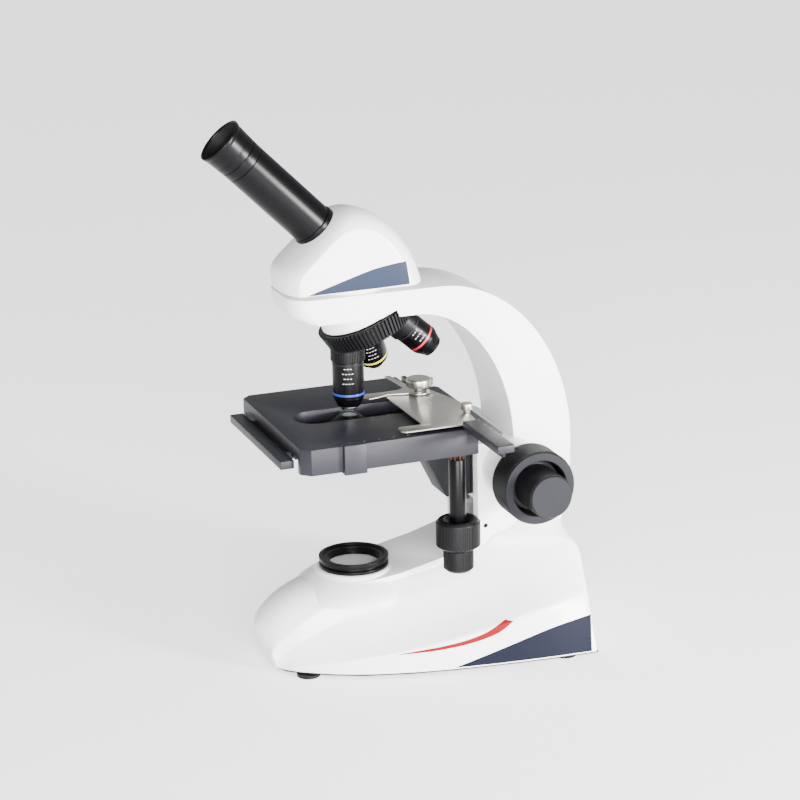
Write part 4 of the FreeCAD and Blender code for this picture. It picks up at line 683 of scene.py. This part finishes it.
stripe = draped(foot_surface, [(9, 16.3), (24, 15.6), (39, 15.5), (60, 16.9), (80, 21.2), (92, 28.2)],
                [(9, 16.7), (24, 17.2), (41, 18.0), (58, 19.8), (73, 23.6), (86, 30.2)], 62, SIGHT, 0.12, 0.4)
assemble("side_stripe", [(stripe, RED), (other_side(stripe), RED)], "stand")
trim = draped(foot_surface, [(43, 7.6), (80, 6.0), (112, 5.0), (142, 4.4)],
              [(43, 7.9), (76, 16.2), (112, 25.2), (142, 30.2)], 82, SIGHT, 0.16, 1.0)
plate = [(x - 1.6, y + (1.6 if y < -60 else 0)) for (x, y), *_ in SLICES]
plate += [(-x, y) for x, y in reversed(plate)]
# The base cover is a bottom plate in satin black; where its edge shows below the foot it also stands in as painted
# shadow for the gap under the foot.
assemble("base_cover", [(prism(plate, 2.0, 3.8, "z"), SATIN)], "stand", ["base_plate"])
assemble("base_trim_pair", [(trim, TRIM_WITH_PAINTED_SHADE), (other_side(trim), TRIM_WITH_PAINTED_SHADE)], "stand",
         ["base_trims"])


# %% [markdown]
# ## The lamp, the controls on the foot and the small hardware
# Nodes that are plain turned or milled shapes keep the frame's own form; their edges are softened and small
# parts are added where the instrument shows them.

# %% Lamp and foot details
lamp_ring = [(lathe(rounded([(19.3, 61.4), (24.0, 61.4), (24.0, 63.4), (22.6, 64.4), (22.6, 65.4), (24.0, 66.0),
                             (24.0, 68.7), (21.6, 68.7), (20.9, 67.2), (17.8, 67.2), (17.8, 61.9)], 0.35)), LACQUER)]
assemble("lamp_collar_ring", lamp_ring, "stand", ["lamp_collar"])


def painted(finish, *nodes):
    """Give frame nodes a finish without changing their shape."""
    for node in nodes:
        data = frame["nodes"][node].data
        data.materials.clear()
        data.materials.append(finish)


painted(LENS, "lamp_lens", "condenser_lens", "objective_lenses", "eyepiece_lenses", "prism")
painted(LAMP_WHITE, "led_module")
painted(CIRCUIT, "control_board")
painted(RUBBER, "rubber_feet")
painted(STEEL, "base_screws", "guide_rails", "coarse_shaft", "fine_shaft", "focus_slide", "turret_pivot", "x_shaft")
painted(SATIN, "x_rack")
painted(BRASS, "focus_bushings", "focus_rack", "y_rack")
for node, paint in (("set_screws", LACQUER), ("brightness_dial", KNOB), ("power_socket", SATIN),
                    ("power_switch", SATIN), ("iris_ring", LACQUER), ("condenser_body", LACQUER)):
    refined(node, paint, 0.25)

# %% [markdown]
# ## The head and the eyepiece
# The head is a cast cap with a soft crown. Its cage has three rows on each side, and a crease keeps its lower
# rim sharp. The tube, the eyepiece and its cup are turned about the slanting axis.

# %% Head
HEAD_LOW = 260.6
CROWN = ((-48.8, 0), (-50.0, 11), (-47.0, 17.5), (-38.0, 24.5), (-20.5, 41.0), (-10.5, 50.5), (1.0, 53.8),
         (18, 48.6), (33.5, 37.4), (46.8, 16), (51.5, 0))
MIDDLE = ((-46.2, 0), (-47.4, 10.5), (-44.5, 16.5), (-35.5, 23.5), (-19.5, 39.2), (-9.5, 47.8), (2, 50.4), (18, 45.2),
          (32, 33), (43.4, 15), (47.4, 0))
RIDGE = ((-40, 0), (-41, 9), (-38, 14.5), (-29.5, 22), (-17, 34), (-8, 40.5), (2, 42.6), (15.5, 38), (27, 25.4),
         (35.4, 10), (38, 0))
SIDE_CENTRE = (-3, 278)


def head_cage():
    """The head as a creased, subdivided cage, flat underneath."""
    mesh = bmesh.new()

    def loop(row, x):
        return [mesh.verts.new(Vector((x, y, HEAD_LOW + up)) * MM) for y, up in row]

    crown = loop(CROWN, 0)
    layer = mesh.edges.layers.float.new("crease_edge")
    for side in (1, -1):
        middle, ridge = loop(MIDDLE, 20.5 * side), loop(RIDGE, 27.9 * side)
        inner = [mesh.verts.new(Vector((28.6 * side, SIDE_CENTRE[0] + (y - SIDE_CENTRE[0]) * 0.75,
                                        SIDE_CENTRE[1] + (HEAD_LOW + up - SIDE_CENTRE[1]) * 0.75)) * MM)
                 for y, up in RIDGE]
        for near, far in ((crown, middle), (middle, ridge), (ridge, inner)):
            for i in range(len(crown) - 1):
                mesh.faces.new((near[i], near[i + 1], far[i + 1], far[i]))
        mesh.faces.new((ridge[-1], ridge[0], inner[0], inner[-1]))
        mesh.faces.new(inner)
        mesh.faces.new((crown[0], middle[0], middle[-1], crown[-1]))
        mesh.faces.new((middle[0], ridge[0], ridge[-1], middle[-1]))
        for a, b in ((crown[0], middle[0]), (middle[0], ridge[0]), (ridge[0], ridge[-1]), (ridge[-1], middle[-1]),
                     (middle[-1], crown[-1])):
            mesh.edges.get((a, b))[layer] = 1.0
        for a, b in zip(ridge, ridge[1:]):
            mesh.edges.get((a, b))[layer] = 0.5
    bmesh.ops.recalc_face_normals(mesh, faces=mesh.faces)
    return settled(as_data(mesh, "head"), ("SUBSURF", {"levels": 4, "render_levels": 4}))


TUBE = Matrix.Translation(Vector((0, -17.9, 298.1)) * MM) @ Matrix.Rotation(math.radians(45), 4, "X")
head = head_cage()
socket_ring = lathe(rounded([(14.6, -2.0), (15.5, -2.0), (15.5, 5.4), (15.1, 5.9), (14.6, 5.9)], 0.3), TUBE, 96)
assemble("head_cap", [(head, ENAMEL), (socket_ring, LACQUER)], "head", ["head_shell"], 50)
surface = bmesh.new()
surface.from_mesh(head)
head_surface = BVHTree.FromBMesh(surface)
surface.free()
ACROSS = Vector((-1, 0, 0))
flash = draped(head_surface, [(-35.4, 260.95), (-12, 261.2), (12, 261.4), (35.2, 261.8)],
               [(-35.4, 261.15), (-21, 265.6), (-7, 269.8), (10.4, 274.6), (26, 276.9), (33.2, 277.2)], 30, ACROSS,
               0.15, 0.6)
assemble("head_trim_pair", [(flash, TRIM), (other_side(flash), TRIM)], "head", ["head_trims"])
disc = lathe(rounded([(9.2, 254.3), (21.8, 254.3), (21.8, 258.1), (26.0, 258.1), (26.0, 261.2), (9.2, 261.2)], 0.3))
assemble("head_ring_disc", [(disc, ENAMEL)], "head", ["head_ring"])

# %% Tube, eyepiece and cup
tube = lathe(solid_ring(11.6, 14.7, -16, 68, 0.5), TUBE, 128)
assemble("eyepiece_tube_turned", [(tube, LACQUER)], "head", ["eyepiece_tube"])
barrel = lathe(rounded([(10.2, 32), (11.5, 32), (11.5, 68.1), (14.7, 68.1), (14.85, 74.2), (14.4, 74.4), (14.4, 74.8),
                        (14.95, 75.0), (15.2, 80.0), (10.2, 80.0)], 0.12), TUBE, 128)
assemble("eyepiece_barrel_turned", [(barrel, LACQUER)], "eyepiece", ["eyepiece_barrel"])
cup = lathe(rounded([(14.9, 80.02), (15.2, 80.02), (15.75, 88.3), (16.4, 90.4), (16.4, 91.7), (15.7, 91.7),
                     (15.0, 90.6), (14.8, 84.0)], 0.4), TUBE, 128)
hollow = lathe(rounded([(10.2, 80.05), (14.9, 80.05), (15.0, 90.4), (12.8, 85.0), (12.6, 82.2), (10.2, 82.2)], 0.4),
               TUBE, 128)
assemble("eye_cup_turned", [(cup, LACQUER), (hollow, RUBBER)], "eyepiece", ["eye_cup"])

# %% [markdown]
# ## The nosepiece and the objectives
# The nosepiece turns on a slanting axis, so each objective has its own turned frame. Colour bands tell the
# powers apart. The grip ring and the objective collars carry ribs.

# %% Nosepiece
SEAT = 46.9


def station(place):
    """The frame of one of the four places on the nosepiece; place 0 is the working one."""
    return Matrix.Translation(APEX) @ Matrix.Rotation(math.radians(90 * place), 4, NOSE_AXIS)


ring = lathe(rounded([(27.9, -26.8), (31.2, -26.8), (28.6, -39.9), (27.9, -39.9)], 0.3), NOSE, 96)
ring_ribs = ribs(NOSE, 72, 30.0, -39.5, -27.2, 1.5, 2.6, lean=math.atan(2.7 / 13), paint=SATIN)
assemble("grip_ring_ribbed", [(ring, LACQUER), (ring_ribs, SATIN)], "turret", ["grip_ring"])
refined("turret_disc", LACQUER, 0.3)

# %% Objectives
GRIP_RIBS = 60


def objective(name, place, body, taper, nose_r, tip, tip_r, band, band_low, nose_paint):
    """One objective: knurled collar, barrel, colour band, marks, taper and front ring."""
    at = station(place)
    low, shoulder, end = SEAT + body, SEAT + body + taper, SEAT + body + taper + tip

    def turned(profile, soft=0.35):
        return lathe(rounded([(r, -d) for r, d in profile], soft), at, 96)

    thread = turned([(5, SEAT - 4.5), (10.06, SEAT - 4.5), (10.06, SEAT), (5, SEAT)])
    collar = turned([(5, SEAT), (11.2, SEAT), (11.2, SEAT + 8.8), (5, SEAT + 8.8)])
    grip = ribs(at, GRIP_RIBS, 11.2, -SEAT - 8.3, -SEAT - 0.5, 0.62, 0.95, paint=SATIN)
    barrel = turned([(5, SEAT + 8.8), (10.7, SEAT + 8.8), (10.7, low), (5, low)], 0.4)
    groove = turned(solid_ring(10.4, 10.78, SEAT + 10.0, SEAT + 10.9, 0.1), 0.05)
    nose = turned([(1.8, low - 2), (10.7, low), (nose_r, shoulder - 0.4), (nose_r - 1.4, shoulder), (1.8, shoulder)],
                  0.5)
    wide = min(tip_r + 2.9, nose_r - 0.8)
    front = turned([(1.8, shoulder - 1), (wide, shoulder - 1), (wide, shoulder + 0.35 * tip), (tip_r + 0.8, end),
                    (1.8, end)], 0.3)
    stripe = turned(solid_ring(10.5, 10.8, band_low, band_low + 1.6, 0.1), 0.05)
    parts = [(thread, STEEL), (collar, LACQUER), (grip, SATIN), (barrel, LACQUER), (groove, FACE), (nose, LACQUER),
             (front, nose_paint), (stripe, band)]
    facing = at.to_3x3().inverted() @ -SIGHT
    for step in range(4):
        row = SEAT + 12.6 + 3.4 * step
        for turn in (0.0, math.pi):
            spin = at @ Matrix.Rotation(turn + math.atan2(facing.y, facing.x), 4, "Z")
            parts.append((mark_row(spin, row, 3 + step % 2, 10.72), MARK))
    assemble(name + "_turned", parts, "turret", [name])


def mark_row(spin, distance, count, radius):
    """A few tiny plain dashes round a barrel, where an engraved scale would be."""
    mesh = bmesh.new()
    for i in range(count):
        angle = math.radians(11 * (i - (count - 1) / 2))
        bmesh.ops.create_cube(mesh, size=1, matrix=spin @ Matrix.Rotation(angle, 4, "Z") @
                              Matrix.Translation(Vector((radius, 0, -distance)) * MM) @
                              Matrix.Diagonal((0.1 * MM, 1.3 * MM, 0.5 * MM, 1)))
    return as_data(mesh, "marks")


objective("objective_40x", 0, 33.6, 6.8, 8, 2.9, 3.4, BLUE_BAND, 77.4, CHROME)
objective("objective_10x", 1, 31.0, 5.0, 7.2, 1.2, 5.4, YELLOW_BAND, 74.0, LACQUER)
objective("objective_4x", 2, 26.0, 7.0, 8, 1.0, 7.0, RED_BAND, 68.6, LACQUER)

# %% [markdown]
# ## The stage, its slides and the specimen holder
# The stage plate, its guide and the bracket are milled aluminium; the holder is brushed nickel. The pointer
# scale is a row of dots.

# %% Stage
DOT_STEP, DOT_RADIUS = 10, 0.42
edge_dots = dots((62.9, -21.5, 169.82), (0, DOT_STEP, 0), 5, DOT_RADIUS)
refined("stage_plate", STAGE, 0.7, [(edge_dots, MARK)])
bar_dots = dots((68, 66.5, 175.42), (DOT_STEP, 0, 0), 6, DOT_RADIUS)
refined("x_bar", STAGE, 0.5, [(bar_dots, MARK)])
refined("stage_guide", STAGE, 0.5)
refined("index_block", STAGE, 0.5)
refined("x_guide", STAGE, 0.4)
refined("stage_bracket", CRINKLE, 0.8)
for node in ("specimen_plate", "finger_clip"):
    refined(node, NICKEL, 0.18)
for node in ("clip_post", "holder_screws"):
    refined(node, NICKEL, 0.4)

# %% [markdown]
# ## The drives
# The coarse and fine knobs share one axis. Each is a dished disc or a long drum with fine ribs. Under the
# stage hang the two coaxial knobs that move the specimen.

# %% Focus knobs
coarse = lathe(rounded([(5.0, 56.5), (24.4, 56.5), (25.1, 57.3), (25.1, 79.0), (24.6, 79.7), (19.6, 79.7),
                        (18.9, 79.0), (18.9, 62.5), (5.0, 62.5)], 0.4), FOCUS, 128)
grip = ribs(FOCUS, 112, 25.1, 58.2, 78.6, 0.55, 0.8, slant=0.16)
rim = lathe(solid_ring(19.4, 24.7, 79.2, 80.0, 0.2), FOCUS, 128)
assemble("coarse_knob_ribbed", [(coarse, SATIN), (grip, KNOB), (rim, FACE)], "coarse_drive",
         ["coarse_knob"])
fine = lathe(rounded([(2.6, 65.5), (17.4, 65.5), (17.4, 71.5), (14.7, 71.5), (14.7, 98.6), (14.2, 99.2),
                      (0, 99.2)], 0.4) + [(0, 73.5), (2.6, 73.5)], FOCUS, 128)
grip = ribs(FOCUS, 96, 14.7, 72.5, 98.4, 0.45, 0.75)
ticks = ribs(FOCUS, 24, 17.35, 67.2, 70.6, 0.5, 0.16, paint=MARK)
face = lathe([(0, 98.8), (14.1, 98.8), (14.3, 99.1), (14.0, 99.5), (0, 99.5)], FOCUS, 96)
assemble("fine_knob_ribbed", [(fine, SATIN), (grip, KNOB), (ticks, MARK), (face, FACE)], "fine_drive",
         ["fine_knob"])
refined("shaft_cap", KNOB, 0.5)

# %% Stage drive knobs
DROP = Matrix.Translation(Vector((52, 57, 0)) * MM)
y_knob = lathe(rounded([(5.7, 82.0), (10.8, 82.0), (14.6, 84.6), (14.6, 101.1), (13.2, 102.9), (10.2, 102.9),
                        (5.7, 97.9)], 0.4), DROP, 112)
assemble("y_knob_ribbed", [(y_knob, SATIN), (ribs(DROP, 72, 14.6, 84.8, 101.0, 0.6, 0.8), SATIN)], "y_drive",
         ["y_knob"])
x_knob = lathe(rounded([(0, 66.5), (8.3, 66.5), (9.9, 68.4), (9.9, 81.5), (3.4, 81.5), (3.4, 75), (0, 75)], 0.35),
               DROP, 96)
assemble("x_knob_ribbed", [(x_knob, SATIN), (ribs(DROP, 56, 9.9, 68.4, 81.1, 0.5, 0.8), SATIN)], "x_drive",
         ["x_knob"])
refined("y_sleeve", LACQUER, 0.2)
refined("y_pinion", BRASS, 0.12)

# %% [markdown]
# ## Studio
# A plain pale floor that glows a little, a bright even sky, one large soft lamp on the camera's right and a
# small one behind the instrument.

# %% Floor, light and camera
FLOOR_GLOW, FLOOR_RADIUS = 1.5, 9
SKY_STRENGTH = 0.62
KEY_POWER, SIDE_POWER = 215, 85
FOCAL_LENGTH, SENSOR_WIDTH, FAR_CLIP = 107.9, 36, 40
FLOOR = finish("studio_floor", (0.80, 0.81, 0.805), 0.75, grain=40, bump=0.0, drift=0.004, specular=0.2)
glow = FLOOR.node_tree.nodes["Principled BSDF"].inputs
glow["Emission Color"].default_value = (0.975, 0.99, 0.985, 1)
glow["Emission Strength"].default_value = FLOOR_GLOW
floor_mesh = bmesh.new()
bmesh.ops.create_circle(floor_mesh, cap_ends=True, segments=64, radius=FLOOR_RADIUS)
floor = bpy.data.objects.new("studio_floor", as_data(floor_mesh, "studio_floor"))
floor.data.materials.append(FLOOR)
bpy.context.scene.collection.objects.link(floor)

world = bpy.data.worlds.new("sky")
world.use_nodes = True
sky = world.node_tree.nodes["Background"].inputs
sky["Color"].default_value = (0.955, 0.975, 0.985, 1)
sky["Strength"].default_value = SKY_STRENGTH
bpy.context.scene.world = world


def soft_lamp(name, place, aim, size, power):
    data = bpy.data.lights.new(name, "AREA")
    data.size, data.energy = size, power
    lamp = bpy.data.objects.new(name, data)
    lamp.location = place
    lamp.rotation_euler = (Vector(aim) - Vector(place)).to_track_quat("-Z", "Y").to_euler()
    bpy.context.scene.collection.objects.link(lamp)


soft_lamp("key", (2.3, -0.5, 0.46), (0, 0, 0.2), 1.4, KEY_POWER)
soft_lamp("side", (1.2, 0.95, 0.36), (0, -0.04, 0.3), 0.34, SIDE_POWER)

AZIMUTH, ELEVATION, ROLL = math.radians(69.94), math.radians(16.80), math.radians(-1.33)
REACH = 1.6141
toward = Vector((math.sin(AZIMUTH) * math.cos(ELEVATION), -math.cos(AZIMUTH) * math.cos(ELEVATION),
                 math.sin(ELEVATION)))
across = Vector((math.cos(AZIMUTH), math.sin(AZIMUTH), 0))
upward = toward.cross(across)
turned_right = math.cos(ROLL) * across + math.sin(ROLL) * upward
turned_up = -math.sin(ROLL) * across + math.cos(ROLL) * upward
camera = bpy.data.objects.new("camera", bpy.data.cameras.new("camera"))
camera.data.lens, camera.data.sensor_width = FOCAL_LENGTH, SENSOR_WIDTH
camera.data.clip_end = FAR_CLIP
aim = across * 0.03439 + Vector((0, 0, 0.178))
camera.matrix_world = (Matrix.Translation(aim + toward * REACH) @
                       Matrix((turned_right, turned_up, toward)).transposed().to_4x4())
bpy.context.scene.collection.objects.link(camera)
bpy.context.scene.camera = camera
